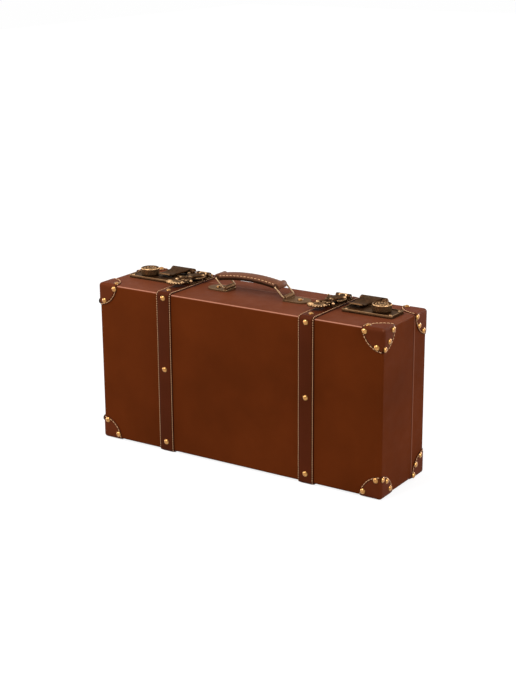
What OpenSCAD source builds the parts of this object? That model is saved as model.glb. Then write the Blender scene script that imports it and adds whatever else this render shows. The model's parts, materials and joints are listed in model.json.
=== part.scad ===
// Wooden travel case covered in brown leatherette, with straps, corner patches and bronze locks.
// It stands on its hinge side. The origin is under its middle, on the surface it stands on.
// +X runs along the length to the right, -Y is the face of the deep shell, +Z is up.

/* [Case] */
// Length over the leatherette, end to end
case_l = 502; // [480:1:560]
// Depth over the leatherette, face to face
case_d = 131; // [126:1:160]
// Height over the leatherette, hinge side to handle side
case_h = 252; // [210:1:320]
// Depth of the shallow lid shell
lid_d = 38; // [36:0.5:42]
// Gap between the two shells when shut
seam_gap = 0.5; // [0.4:0.1:1]
// Radius of the case's outer edges
edge_r = 3.5; // [2:0.5:6]
// Thickness of the top, bottom and end boards
board_t = 5; // [4:0.5:8]
// Thickness of the large face panels
panel_t = 4; // [3:0.5:6]
// Thickness of the leatherette
skin_t = 1; // [0.6:0.1:1.4]
// Thickness of the cloth lining
lining_t = 0.8; // [0.5:0.1:1.2]

/* [Straps and patches] */
// Gap between a strap and the lock plate next to it
strap_lock_gap = 12.5; // [11:0.5:14]
// Width of a strap
strap_w = 26; // [25:0.5:28]
// Thickness of a strap
strap_t = 2.7; // [2.6:0.1:4]
// Distance from the seam to a strap's end on the hinge side
strap_stop = 3.5; // [3.3:0.1:6]
// Reach of a base corner patch along each edge
patch_r = 36; // [35:0.5:36]
// Reach of a lid corner patch along each edge
lid_patch_r = 38.5; // [38:0.5:39]
// Thickness of a corner patch
patch_t = 1.5; // [1.2:0.1:2]

/* [Rivets and screws] */
// Radius of a rivet's domed head
rivet_r = 4.6; // [3.5:0.1:5]
// Height of a rivet's domed head
rivet_h = 2.5; // [1.5:0.1:3]
// Radius of a rivet's nail
nail_r = 0.9; // [0.6:0.1:1.2]
// Depth that a rivet's nail bites into the wood
nail_bite = 2.4; // [1.5:0.1:2.8]
// Clearance around nails and screws
fix_gap = 0.03; // [0.02:0.01:0.1]
// Radius of a hardware screw's head
screw_r = 2.4; // [2:0.1:2.8]
// Height of a hardware screw's head
screw_h = 1.2; // [0.8:0.1:1.6]
// Radius of a hardware screw's shank
shank_r = 1.1; // [0.8:0.1:1.3]
// Depth that a hardware screw bites into the wood
screw_bite = 3; // [2:0.1:3.5]
// Distance from the case's top to a strap's upper rivet
strap_rivet_top = 6.5; // [6:0.5:12]
// Height of a strap's middle rivet above the case's middle
strap_rivet_mid = 6; // [0:0.5:10]
// Height of a strap's lowest rivet above the leatherette's underside
strap_rivet_low = 14; // [8:0.5:20]
// Distance from a strap's front face to its rivet on the top of the base
base_rivet_y = 15.5; // [12:0.5:18]
// Distance from a strap's back face to its rivet on the top of the lid
lid_rivet_y = 10; // [9:0.5:10.5]

/* [Locks] */
// Distance from the case's end to a lock plate
lock_inset = 16; // [14:0.5:18]
// Length of a lock plate along the case
lock_l = 83; // [81:0.5:85]
// Width of a lock plate across the case
lock_w = 38; // [36:0.5:40]
// Thickness of a lock plate
lock_t = 3.5; // [3:0.1:4]
// Height of the rim around a lock plate, above the plate
lock_rim_h = 1.2; // [0.6:0.1:1.6]
// Width of the rim around a lock plate
lock_rim_w = 1.6; // [1.2:0.1:2]
// Radius of a lock plate's corners
lock_corner_r = 3; // [2.5:0.5:6]
// Distance from a lock plate's outer end to its knob
knob_inset = 27; // [26:0.5:28]
// Radius of the knob
knob_r = 14.5; // [12:0.5:14.5]
// Height of the knob
knob_h = 11.5; // [9:0.1:12.5]
// Radius of the knob's spindle
spindle_r = 3; // [2:0.1:4]
// Distance from a lock plate's inner end to the middle of its hasp
hasp_inset = 20.5; // [19.5:0.5:21.5]
// Length of the hasp's barrel along the case, with the end knuckles
barrel_l = 47; // [46:0.5:50]
// Length of one end knuckle of the hasp's barrel
end_knuckle_l = 8; // [7:0.1:9]
// Radius of the hasp's barrel
barrel_r = 5; // [4.5:0.1:5.1]
// Distance from the seam to the hasp's pin
hasp_pin_y = 22.5; // [21:0.5:25]
// Height of the hasp's pin above the leatherette
hasp_pin_z = 6.6; // [6.5:0.1:8]
// Radius of the hasp's pin
hasp_pin_r = 1.5; // [1:0.1:2]
// Thickness of the hasp
hasp_t = 2; // [1.5:0.1:2.2]
// Half of the thumb tab's width
tab_hw = 12; // [9:0.5:12.5]
// Length of the hasp from its pin to the front of its thumb tab
hasp_l = 44; // [42:0.5:46]
// Length of the thumb tab, where the hasp curls up again
tab_l = 11; // [9:0.5:13]
// Rise of the thumb tab's front edge
tab_lift = 2.9; // [2:0.1:4]
// Offset of the thumb tab to the left of the hasp's middle
tab_shift = 7; // [3:0.5:7.5]
// Radius of the thumb tab's corners
tab_corner_r = 4; // [3:0.5:6]
// Gap between the hasp and the rim of the lock plate
hasp_float = 0.6; // [0.5:0.1:1]
// Distance from the base's rim to a lock plate
lock_edge = 0.75; // [0.5:0.05:1.5]
// Offset of the knob from the lock plate's middle line, towards the seam
knob_back = 1.5; // [0:0.5:2.5]
// Distance from a lock plate's edges to its screws
screw_in = 5.5; // [5:0.1:6]
// Thickness of the lock's hinge plate on the lid
hinge_plate_t = 1.2; // [0.8:0.1:1.3]
// Distance from the seam to the lock's hinge plate
hinge_plate_gap = 4; // [2:0.5:5]

/* [Strap buckles] */
// Width of the buckle's two plates
buckle_w = 24; // [22:0.5:25]
// Thickness of the buckle's two plates
buckle_t = 1.8; // [1.4:0.1:2.2]
// Distance from the seam to the buckle's pin
buckle_pin_y = 13; // [12:0.5:14]
// Height of the buckle's pin above the strap
buckle_pin_z = 5.8; // [5.6:0.1:7]
// Radius of the buckle's barrel
buckle_barrel_r = 3.6; // [3:0.1:3.7]
// Radius of the buckle's pin
buckle_pin_r = 1.2; // [1:0.1:1.6]
// Thickness of the buckle's hasp
buckle_hasp_t = 2.2; // [1.6:0.1:2.4]
// Half of the width of the buckle's rear lobes
lobe_hw = 15.5; // [13:0.5:16]
// Half of the width of the buckle's front petals
petal_hw = 10; // [8:0.5:12]
// Half of the width of the buckle's leaf tab
leaf_hw = 16; // [14:0.5:17]
// Half of the width of the buckle's necks
neck_hw = 4.2; // [3:0.1:4.6]
// Distance from the seam to the middle of the buckle's knot
knot_back = 24.5; // [23:0.5:26]
// Length of the buckle's rear lobes
lobe_l = 32; // [29:0.5:33]
// Length of the buckle's front petals
petal_l = 14; // [12:0.5:15]
// Length of the buckle's leaf tab
leaf_l = 32; // [28:0.5:33]
// Offset of the leaf tab to the left of the buckle's middle
leaf_shift = 5; // [2:0.5:6]
// Rise of the leaf tab's front edge
leaf_lift = 2.2; // [1:0.1:3]
// Reach of the catch plate in front of its post
catch_reach = 12; // [12:0.5:14]
// Length of the two rods that cross at the knot
rod_l = 42; // [36:0.5:46]
// Radius of the two rods that cross at the knot
rod_r = 2.2; // [1.6:0.1:2.4]
// Radius of the catch's post
post_r = 3.2; // [2:0.1:4]
// Height of the catch's post above its plate
post_h = 3.2; // [2.5:0.1:3.4]

/* [Handle] */
// Distance from the seam to the middle of the handle
handle_y = 23; // [20:0.5:26]
// Distance between the two plates' eyes
eye_pitch = 106.5; // [100:0.5:110]
// Width of a handle plate across the case
plate_w = 28; // [26:0.5:30]
// Length of a handle plate without its round end
plate_l = 25; // [23:0.5:27]
// Thickness of a handle plate
plate_t = 2.6; // [2:0.1:2.6]
// Radius of the rolled eye
eye_r = 3.3; // [2.8:0.1:3.5]
// Radius of the loop's wire
wire_r = 1.3; // [1:0.1:1.5]
// Height of a loop between its two bars
loop_l = 21; // [18:0.5:24]
// Lean of the loops at rest, to the left
loop_lean = 46; // [40:1:60]
// Radius of the loop's bends
bend_r = 2.6; // [2:0.1:3]
// Distance from the grip's side to the middle of a loop's leg
loop_side = 3; // [2.8:0.1:3.4]
// Distance from an eye to its plate's rivet
plate_rivet_in = 20; // [16:0.5:24]
// Width of the grip
grip_w = 24; // [22:0.5:26]
// Rise of the grip's arch
grip_rise = 5.5; // [4:0.1:8]
// Thickness of the grip below its middle line
grip_low = 5; // [4:0.1:5.3]
// Thickness of the grip above its middle line, at the crown
grip_crown = 5; // [4:0.1:6]
// Radius of the rolled ends of the grip
grip_end_r = 5.5; // [5:0.1:6]
// Width of the steel core in the grip
core_w = 17; // [12:0.5:17]
// Thickness of the steel core in the grip
core_t = 1.6; // [1:0.1:2]
// Clearance between the steel core and the leather
core_gap = 0.1; // [0.05:0.05:0.3]

/* [Back hinges] */
// Distance from the case's end to the middle of a hinge
hinge_inset = 68; // [62:1:76]
// Length of a hinge
hinge_l = 40; // [36:1:42]
// Reach of a hinge leaf from the seam
leaf_reach = 20; // [16:0.5:24]
// Thickness of a hinge leaf
leaf_t = 1.2; // [1:0.1:1.4]
// Radius of a hinge knuckle
knuckle_r = 2.1; // [1.8:0.1:2.2]
// Radius of a hinge pin
hinge_pin_r = 1; // [0.8:0.1:1.1]
// Depth of the hinge pin's axis below the leatherette
hinge_drop = 0.2; // [0.1:0.05:0.4]
// Radius of a hinge screw's head
hinge_screw_r = 1.9; // [1.5:0.1:2.2]
// Height of a hinge screw's head
hinge_screw_h = 0.7; // [0.5:0.1:0.9]

/* [Fits] */
// Radial clearance of a pin, spindle or bar in its bore
run_gap = 0.06; // [0.02:0.01:0.1]
// Radial clearance of the right bar in the grip, where the linkage is open
loose_gap = 0.5; // [0.3:0.1:0.8]
// Gap between neighbouring knuckles and between moving faces
side_gap = 0.4; // [0.3:0.1:0.6]

/* [Hidden] */
$fn = 64;

// Colours seen in the photograph
leatherette = [0.38, 0.15, 0.07];
strap_brown = [0.33, 0.14, 0.08];
brass = [0.72, 0.52, 0.22];
bronze = [0.33, 0.28, 0.18];
bare_wood = [0.78, 0.62, 0.42];
lining_cream = [0.80, 0.72, 0.58];
steel = [0.55, 0.55, 0.57];

// The case stands on its straps, so the leatherette starts one strap above the floor
low_z = strap_t;
top_z = low_z + case_h;
mid_z = low_z + case_h / 2;
half_l = case_l / 2;
half_d = case_d / 2;
half_h = case_h / 2;
seam_y = half_d - lid_d;
base_end = seam_y - seam_gap / 2;
lid_end = seam_y + seam_gap / 2;
wall_t = skin_t + board_t;
face_t = skin_t + panel_t;
// Inner faces of the boards and panels
room_x = half_l - wall_t;
room_z = half_h - wall_t;
room_y = half_d - face_t;
// A length that is larger than the case
far = 2 * case_l;

// Places of the rivets on a patch, from the patch's outer corner, sideways and then up or down
upper_face_rivets = [[31, 7], [11, 28]];
lower_face_rivets = [[30, 9], [9.3, 29.5]];
upper_base_end_rivets = [[27.9, 6.6], [17.4, 21.4], [5, 30.3]];
lower_base_end_rivets = [[27.2, 11], [17.6, 25.2], [5, 31]];
lid_end_rivets = [[33, 5.7], [26.5, 20.5], [12.6, 31]];
top_rivet = [29.8, 9];
patch_nail_l = patch_t + skin_t + nail_bite;
strap_nail_l = strap_t + skin_t + nail_bite;
lock_screw_l = lock_t + skin_t + screw_bite;
strap_screw_l = buckle_t + strap_t + skin_t + screw_bite;
lid_screw_l = hinge_plate_t + skin_t + screw_bite;
plate_nail_l = plate_t + skin_t + screw_bite;
hinge_screw_l = leaf_t + skin_t + screw_bite;

// Lock places, on the right-hand side
lock_x1 = half_l - lock_inset;
lock_x0 = lock_x1 - lock_l;
lock_mid_x = (lock_x0 + lock_x1) / 2;
lock_y1 = base_end - lock_edge;
lock_y0 = lock_y1 - lock_w;
lock_mid_y = (lock_y0 + lock_y1) / 2;
lock_top = top_z + lock_t;
knob_x = lock_x1 - knob_inset;
knob_y = lock_mid_y + knob_back;
knob_z = lock_top + side_gap;
hasp_x = lock_x0 + hasp_inset;
hasp_axis_y = seam_y + hasp_pin_y;
hasp_axis_z = top_z + hasp_pin_z;
hinge_plate_y0 = seam_y + hinge_plate_gap;
hinge_plate_y1 = half_d - edge_r;
mid_knuckle_l = barrel_l - 2 * end_knuckle_l - 2 * side_gap;
hasp_low = lock_top + lock_rim_h + hasp_float + hasp_t;
hasp_low_y = hasp_axis_y - hasp_l + tab_l;
// Sideways distance of a lock hinge plate's screws from its ends, and from its front edge
lid_screw_in = 4.5;
lid_screw_x = barrel_l / 2 - lid_screw_in;
lid_screw_y = hinge_plate_y0 + lid_screw_in;

// Buckle places, on the right-hand strap
strap_x = lock_x0 - strap_lock_gap - strap_w / 2;
strap_top = top_z + strap_t;
buckle_axis_y = seam_y + buckle_pin_y;
buckle_axis_z = strap_top + buckle_pin_z;
buckle_mid_l = buckle_w / 2 + 1.4;
buckle_corner_r = 2.5;
knot_y = seam_y - knot_back;
// The leaf starts a little inside the tips of the petals, and curls up towards its middle
leaf_over = 2;
leaf_mid_y = knot_y - petal_l + leaf_over - leaf_l / 2;
curl_y = leaf_mid_y + leaf_l / 2 + leaf_over;
curl_l = leaf_l - 6 * leaf_over;
// The leaf passes just over the catch plate's screws
leaf_z = strap_top + buckle_t + screw_h + side_gap + buckle_hasp_t;
// Rise of the hasp at its knot, how far that rise spreads, and how deep the crossing rods sink in
knot_rise = 3.2;
knot_spread = 10;
rod_sink = 0.6;
// Turn of the two rods to each side of the strap's line, and their slope down to the front
rod_turn = 40;
rod_tilt = 4;
// The catch plate reaches from under the petals to the rim, and its screws are near its ends
catch_y0 = knot_y - catch_reach;
catch_y1 = base_end - 2;
catch_screw_in = 5;
// The hinge plate starts behind the seam and ends behind its screw
buckle_hinge_y0 = lid_end + 2;
buckle_screw_y = buckle_axis_y + buckle_barrel_r + screw_r + 0.5;
buckle_hinge_y1 = buckle_screw_y + screw_r + 0.4;

// Handle places
grip_y = seam_y - handle_y;
eye_x = eye_pitch / 2;
eye_z = top_z + plate_t + eye_r;
loop_hw = grip_w / 2 + loop_side;
loop_dx = -loop_l * sin(loop_lean);
loop_dz = loop_l * cos(loop_lean);
bar_z = eye_z + loop_dz;
arch_r = (eye_x * eye_x + grip_rise * grip_rise) / (2 * grip_rise);
arch_half = asin(eye_x / arch_r);
plate_rivet_x = eye_x + plate_rivet_in;
// Angle that the core stays back from each end of the arch
core_inset = 2;

// Back hinge places
hinge_x = half_l - hinge_inset;
hinge_z = low_z - hinge_drop;
// Distance from a hinge leaf's far edge to its screws
leaf_screw_in = 6;
leaf_screw_x = hinge_l / 4;
leaf_screw_y = leaf_reach - leaf_screw_in;
groove_r = knuckle_r + side_gap;
knuckle_l = (hinge_l - 2 * side_gap) / 3;

// Rises smoothly from 0 to 1 as u goes from 0 to 1
function ease(u) = (1 - cos(180 * min(1, max(0, u)))) / 2;

// Rectangle with round corners, about the origin
module round_rect(w, h, r) {
    square([w - 2 * r, h], center = true);
    square([w, h - 2 * r], center = true);
    for (x = [-1, 1], y = [-1, 1])
        translate([x * (w / 2 - r), y * (h / 2 - r)]) circle(r);
}

// The whole case with round edges, its faces moved outwards by grow
module case_block(grow) {
    l = case_l + 2 * grow;
    d = case_d + 2 * grow;
    h = case_h + 2 * grow;
    r = edge_r + grow;
    translate([0, 0, mid_z]) intersection() {
        linear_extrude(h, center = true) round_rect(l, d, r);
        rotate([90, 0, 0]) linear_extrude(d, center = true) round_rect(l, h, r);
        rotate([90, 0, 90]) linear_extrude(l, center = true) round_rect(d, h, r);
    }
}

// A box given by its two corners
module box(lo, hi) {
    translate(lo) cube(hi - lo);
}

// Everything on the base's side of the seam, stopping back short of it
module base_half(back = 0) {
    box([-far, -far, -far], [far, base_end - back, far]);
}

// Everything on the lid's side of the seam, stopping back short of it
module lid_half(back = 0) {
    box([-far, lid_end + back, -far], [far, far, far]);
}

// The room inside both shells, smaller all round by inset
module room(inset) {
    x = room_x - inset;
    y = room_y - inset;
    z = room_z - inset;
    box([-x, -y, mid_z - z], [x, y, mid_z + z]);
}

// Puts its children on both sides of the case, the left one mirrored
module both_sides() {
    children();
    mirror([1, 0, 0]) children();
}

// Puts its children on one side, 1 for right and -1 for left
module on_side(side) {
    if (side > 0) children();
    if (side < 0) mirror([1, 0, 0]) children();
}

// Turns its children from +Z to point out of the front or back face
module face_out(sy) {
    rotate([-90 * sy, 0, 0]) children();
}

// Puts its children at each rivet of one corner patch, pointing outwards
module patch_places(sx, sy, sz) {
    px = half_l + patch_t;
    py = half_d + patch_t;
    pz = half_h + patch_t;
    face_rivets = sz > 0 ? upper_face_rivets : lower_face_rivets;
    base_end_rivets = sz > 0 ? upper_base_end_rivets : lower_base_end_rivets;
    end_rivets = sy < 0 ? base_end_rivets : lid_end_rivets;
    for (p = face_rivets)
        translate([sx * (px - p[0]), sy * py, mid_z + sz * (pz - p[1])]) face_out(sy) children();
    for (p = end_rivets)
        translate([sx * px, sy * (py - p[0]), mid_z + sz * (pz - p[1])]) rotate([0, 90 * sx, 0]) children();
    if (sz > 0)
        translate([sx * (px - top_rivet[0]), sy * (py - top_rivet[1]), mid_z + pz]) children();
}

// Puts its children at each rivet of the two straps on one shell, pointing outwards
module strap_places(sy) {
    py = half_d + strap_t;
    top_y = py - (sy < 0 ? base_rivet_y : lid_rivet_y);
    for (sx = [-1, 1]) {
        for (z = [top_z - strap_rivet_top, mid_z + strap_rivet_mid, low_z + strap_rivet_low])
            translate([sx * strap_x, sy * py, z]) face_out(sy) children();
        translate([sx * strap_x, sy * top_y, strap_top]) children();
    }
}

// A domed head on the surface at z = 0 with a shank below it
module stud(head_r, head_h, stem_r, stem_l) {
    ball_r = (head_r * head_r + head_h * head_h) / (2 * head_h);
    intersection() {
        translate([0, 0, head_h - ball_r]) sphere(ball_r);
        cylinder(h = head_h, r = head_r + 1);
    }
    translate([0, 0, -stem_l]) cylinder(h = stem_l + head_h / 2, r = stem_r);
}

module stud_hole(stem_r, stem_l) {
    translate([0, 0, -stem_l - fix_gap]) cylinder(h = stem_l + 1, r = stem_r + fix_gap);
}

// All rivets of the patches and straps on one shell
module rivets(sy) {
    for (sx = [-1, 1], sz = [-1, 1])
        patch_places(sx, sy, sz) stud(rivet_r, rivet_h, nail_r, patch_nail_l);
    strap_places(sy) stud(rivet_r, rivet_h, nail_r, strap_nail_l);
}

module rivet_holes(sy) {
    for (sx = [-1, 1], sz = [-1, 1])
        patch_places(sx, sy, sz) stud_hole(nail_r, patch_nail_l);
    strap_places(sy) stud_hole(nail_r, strap_nail_l);
}

// Puts its children at each screw of the lock plates, on the plates' tops
module lock_screw_places() {
    both_sides()
        for (x = [lock_x0 + screw_in, lock_x1 - screw_in], y = [lock_y0 + screw_in, lock_y1 - screw_in])
            translate([x, y, lock_top]) children();
}

// Puts its children at each screw of the buckles' front plates
module catch_screw_places() {
    both_sides()
        for (y = [catch_y0 + catch_screw_in, catch_y1 - catch_screw_in])
            translate([strap_x, y, strap_top + buckle_t]) children();
}

// Puts its children at each screw of the lock hinge plates
module lock_hinge_screw_places() {
    both_sides()
        for (x = [-1, 1])
            translate([hasp_x + x * lid_screw_x, lid_screw_y, top_z + hinge_plate_t]) children();
}

// Puts its children at the screw of each buckle hinge plate
module buckle_hinge_screw_places() {
    both_sides()
        translate([strap_x, buckle_screw_y, strap_top + buckle_t]) children();
}

module plate_rivet_places() {
    both_sides() translate([plate_rivet_x, grip_y, top_z + plate_t]) children();
}

// Puts its children at each hinge screw under one shell, pointing down
module hinge_screw_places(sy) {
    both_sides()
        for (x = [-1, 1])
            translate([hinge_x + x * leaf_screw_x, seam_y + sy * leaf_screw_y, low_z - leaf_t])
                rotate([180, 0, 0]) children();
}

// All holes for fixings in the base shell
module base_holes() {
    rivet_holes(-1);
    lock_screw_places() stud_hole(shank_r, lock_screw_l);
    catch_screw_places() stud_hole(shank_r, strap_screw_l);
    plate_rivet_places() stud_hole(nail_r, plate_nail_l);
    hinge_screw_places(-1) stud_hole(shank_r, hinge_screw_l);
}

// All holes for fixings in the lid shell
module lid_holes() {
    rivet_holes(1);
    lock_hinge_screw_places() stud_hole(shank_r, lid_screw_l);
    buckle_hinge_screw_places() stud_hole(shank_r, strap_screw_l);
    hinge_screw_places(1) stud_hole(shank_r, hinge_screw_l);
}

// Room for the hinge knuckles at the seam on the hinge side
module hinge_grooves() {
    both_sides()
        box([hinge_x - hinge_l / 2 - side_gap, seam_y - groove_r, low_z - strap_t],
            [hinge_x + hinge_l / 2 + side_gap, seam_y + groove_r, hinge_z + groove_r]);
}

// One board of the base, cut from the case's wooden block
module base_board(lo, hi) {
    color(bare_wood) difference() {
        intersection() {
            case_block(-skin_t);
            base_half(skin_t);
            box(lo, hi);
        }
        base_holes();
        hinge_grooves();
    }
}

// One board of the lid, cut from the case's wooden block
module lid_board(lo, hi) {
    color(bare_wood) difference() {
        intersection() {
            case_block(-skin_t);
            lid_half(skin_t);
            box(lo, hi);
        }
        lid_holes();
        hinge_grooves();
    }
}

module base_front_panel() { base_board([-far, -far, -far], [far, -room_y, far]); }
module base_top_board() { base_board([-room_x, -room_y, mid_z + room_z], [room_x, far, far]); }
module base_bottom_board() { base_board([-room_x, -room_y, -far], [room_x, far, mid_z - room_z]); }
module base_left_board() { base_board([-far, -room_y, -far], [-room_x, far, far]); }
module base_right_board() { base_board([room_x, -room_y, -far], [far, far, far]); }
module lid_back_panel() { lid_board([-far, room_y, -far], [far, far, far]); }
module lid_top_board() { lid_board([-room_x, -far, mid_z + room_z], [room_x, room_y, far]); }
module lid_bottom_board() { lid_board([-room_x, -far, -far], [room_x, room_y, mid_z - room_z]); }
module lid_left_board() { lid_board([-far, -far, -far], [-room_x, room_y, far]); }
module lid_right_board() { lid_board([room_x, -far, -far], [far, room_y, far]); }

// Leatherette over the base, turned in over the boards' edges at the seam
module base_cover() {
    color(leatherette) difference() {
        intersection() {
            case_block(0);
            base_half();
        }
        intersection() {
            case_block(-skin_t);
            base_half(skin_t);
        }
        room(0);
        base_holes();
        hinge_grooves();
    }
}

// Leatherette over the lid, turned in over the boards' edges at the seam
module lid_cover() {
    color(leatherette) difference() {
        intersection() {
            case_block(0);
            lid_half();
        }
        intersection() {
            case_block(-skin_t);
            lid_half(skin_t);
        }
        room(0);
        lid_holes();
        hinge_grooves();
    }
}

module base_lining() {
    color(lining_cream) difference() {
        intersection() {
            room(0);
            base_half();
        }
        room(lining_t);
    }
}

module lid_lining() {
    color(lining_cream) difference() {
        intersection() {
            room(0);
            lid_half();
        }
        room(lining_t);
    }
}

// A strap's band around the whole case
module strap_band() {
    difference() {
        case_block(strap_t);
        case_block(0);
    }
}

module strap_slab(side) {
    box([side * strap_x - strap_w / 2, -far, -far], [side * strap_x + strap_w / 2, far, far]);
}

// Takes the strap's end back from the seam on the hinge side
module strap_end_cut() {
    box([-far, seam_y - strap_stop, -far], [far, seam_y + strap_stop, mid_z]);
}

module base_strap(side) {
    color(strap_brown) difference() {
        intersection() {
            strap_band();
            strap_slab(side);
            base_half();
        }
        strap_end_cut();
        strap_places(-1) stud_hole(nail_r, strap_nail_l);
        catch_screw_places() stud_hole(shank_r, strap_screw_l);
    }
}

module lid_strap(side) {
    color(strap_brown) difference() {
        intersection() {
            strap_band();
            strap_slab(side);
            lid_half();
        }
        strap_end_cut();
        strap_places(1) stud_hole(nail_r, strap_nail_l);
        buckle_hinge_screw_places() stud_hole(shank_r, strap_screw_l);
    }
}

// One leather patch, a quarter disc on each of the three faces that meet at a corner
module patch(sx, sy, sz) {
    corner = [sx * (half_l + patch_t), sy * (half_d + patch_t), mid_z + sz * (half_h + patch_t)];
    deep = 2 * (patch_t + edge_r);
    reach = sy < 0 ? patch_r : lid_patch_r;
    color(strap_brown) difference() {
        intersection() {
            case_block(patch_t);
            translate(corner) union() {
                cylinder(h = deep, r = reach, center = true);
                rotate([90, 0, 0]) cylinder(h = deep, r = reach, center = true);
                rotate([0, 90, 0]) cylinder(h = deep, r = reach, center = true);
            }
            if (sy < 0) base_half();
            if (sy > 0) lid_half();
        }
        case_block(0);
        patch_places(sx, sy, sz) stud_hole(nail_r, patch_nail_l);
    }
}

module base_rivets() {
    color(brass) rivets(-1);
}

module lid_rivets() {
    color(brass) rivets(1);
}

module base_hardware_screws() {
    color(bronze) {
        lock_screw_places() stud(screw_r, screw_h, shank_r, lock_screw_l);
        catch_screw_places() stud(screw_r, screw_h, shank_r, strap_screw_l);
    }
}

module lid_hardware_screws() {
    color(bronze) {
        lock_hinge_screw_places() stud(screw_r, screw_h, shank_r, lid_screw_l);
        buckle_hinge_screw_places() stud(screw_r, screw_h, shank_r, strap_screw_l);
    }
}

// Lock plate on the base, with a raised rim and the bore of its knob
module lock_plate(side) {
    color(bronze) on_side(side) difference() {
        translate([lock_mid_x, lock_mid_y, top_z])
            linear_extrude(lock_t + lock_rim_h) round_rect(lock_l, lock_w, lock_corner_r);
        translate([lock_mid_x, lock_mid_y, lock_top])
            linear_extrude(far)
                round_rect(lock_l - 2 * lock_rim_w, lock_w - 2 * lock_rim_w, lock_corner_r - lock_rim_w);
        translate([knob_x, knob_y, top_z - 1]) cylinder(h = far, r = spindle_r + run_gap);
        translate([knob_x, knob_y, lock_top]) cylinder(h = far, r = knob_r + side_gap);
        for (x = [lock_x0 + screw_in, lock_x1 - screw_in], y = [lock_y0 + screw_in, lock_y1 - screw_in])
            translate([x, y, lock_top]) stud_hole(shank_r, lock_screw_l);
    }
}

// Turning knob with a stepped crown, a ring of beads and its spindle
module lock_knob(side) {
    foot_in = 1;
    rim_w = 3;
    dish = 1.4;
    boss_r = 5;
    bead_r = 1.3;
    beads = 12;
    bead_ring = (knob_r - rim_w + boss_r) / 2;
    color(bronze) on_side(side) translate([knob_x, knob_y, knob_z]) {
        rotate_extrude() polygon([
            [0, 0], [knob_r - foot_in, 0], [knob_r - foot_in, 1.6], [knob_r, 1.6 + foot_in],
            [knob_r, knob_h - dish], [knob_r - 1, knob_h - 0.4], [knob_r - rim_w, knob_h - 0.4],
            [knob_r - rim_w - 0.6, knob_h - dish], [boss_r + 1, knob_h - dish],
            [boss_r - 0.4, knob_h], [0, knob_h]
        ]);
        for (i = [0 : beads - 1])
            rotate([0, 0, i * 360 / beads]) translate([bead_ring, 0, knob_h - dish + 0.2]) sphere(bead_r);
        translate([0, 0, -lock_t]) cylinder(h = lock_t + 1, r = spindle_r);
    }
}

// Plate of the lock's hinge on the lid, with two end knuckles that slope down at their outer ends
module lock_hinge(side) {
    slope = 2.6;
    color(bronze) on_side(side) translate([hasp_x, 0, 0]) difference() {
        union() {
            box([-barrel_l / 2, hinge_plate_y0, top_z],
                [barrel_l / 2, hinge_plate_y1, top_z + hinge_plate_t]);
            for (m = [0, 1]) mirror([m, 0, 0]) {
                translate([barrel_l / 2 - end_knuckle_l, hasp_axis_y, hasp_axis_z]) rotate([0, 90, 0]) {
                    cylinder(h = end_knuckle_l - slope, r = barrel_r);
                    translate([0, 0, end_knuckle_l - slope])
                        cylinder(h = slope, r1 = barrel_r, r2 = barrel_r - slope);
                }
                box([barrel_l / 2 - end_knuckle_l, hasp_axis_y - barrel_r + 1, top_z],
                    [barrel_l / 2 - slope, hasp_axis_y + barrel_r - 1, hasp_axis_z - 2]);
            }
        }
        translate([0, hasp_axis_y, hasp_axis_z]) rotate([0, 90, 0])
            cylinder(h = barrel_l + 2, r = hasp_pin_r + run_gap, center = true);
        for (x = [-1, 1])
            translate([x * lid_screw_x, lid_screw_y, top_z + hinge_plate_t])
                stud_hole(shank_r, lid_screw_l);
    }
}

// Height of the hasp's upper face and half of its width, at a distance y from the case's middle.
// Its width is cut back at the tab's front corners
function hasp_top(y) = y > hasp_low_y
    ? hasp_low + (hasp_axis_z + barrel_r - hasp_low) * ease((y - hasp_low_y) / (hasp_axis_y - hasp_low_y))
    : hasp_low + tab_lift * pow((hasp_low_y - y) / tab_l, 2);
function hasp_cut(y) =
    let (u = min(1, (y - hasp_axis_y + hasp_l) / tab_corner_r)) tab_corner_r * (1 - sqrt(1 - pow(1 - u, 2)));
function hasp_flare(y) = ease((y - hasp_low_y - 3) / 26);
function hasp_hw(y) = tab_hw + (mid_knuckle_l / 2 - tab_hw) * hasp_flare(y) - hasp_cut(y);
function hasp_mid(y) = -tab_shift * ease((hasp_axis_y - barrel_r - y) / 24);

// Hasp that folds forward over the lock plate and ends in a thumb tab, alike on both locks
module lock_hasp(side) {
    y0 = hasp_axis_y - hasp_l;
    steps = 30;
    ys = [for (i = [0 : steps]) y0 + (hasp_axis_y - y0) * i / steps];
    upper = [for (y = ys) [y, hasp_top(y)]];
    lower = [for (i = [steps : -1 : 0]) [ys[i], hasp_top(ys[i]) - hasp_t]];
    right = [for (y = ys) [hasp_mid(y) + hasp_hw(y), y]];
    left = [for (i = [steps : -1 : 0]) [hasp_mid(ys[i]) - hasp_hw(ys[i]), ys[i]]];
    color(bronze) translate([side * hasp_x, 0, 0]) difference() {
        union() {
            intersection() {
                rotate([90, 0, 90]) linear_extrude(far, center = true) polygon(concat(upper, lower));
                linear_extrude(far) polygon(concat(right, left));
            }
            translate([0, hasp_axis_y, hasp_axis_z]) rotate([0, 90, 0])
                cylinder(h = mid_knuckle_l, r = barrel_r, center = true);
        }
        translate([0, hasp_axis_y, hasp_axis_z]) rotate([0, 90, 0])
            cylinder(h = far, r = hasp_pin_r + run_gap, center = true);
    }
}

module lock_pins() {
    color(steel) both_sides() translate([hasp_x, hasp_axis_y, hasp_axis_z]) rotate([0, 90, 0])
        cylinder(h = barrel_l, r = hasp_pin_r, center = true);
}

// Flat plate of a buckle with round corners, from y0 to y1
module buckle_plate(y0, y1) {
    translate([0, (y0 + y1) / 2, 0])
        linear_extrude(buckle_t) round_rect(buckle_w, y1 - y0, buckle_corner_r);
}

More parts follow.
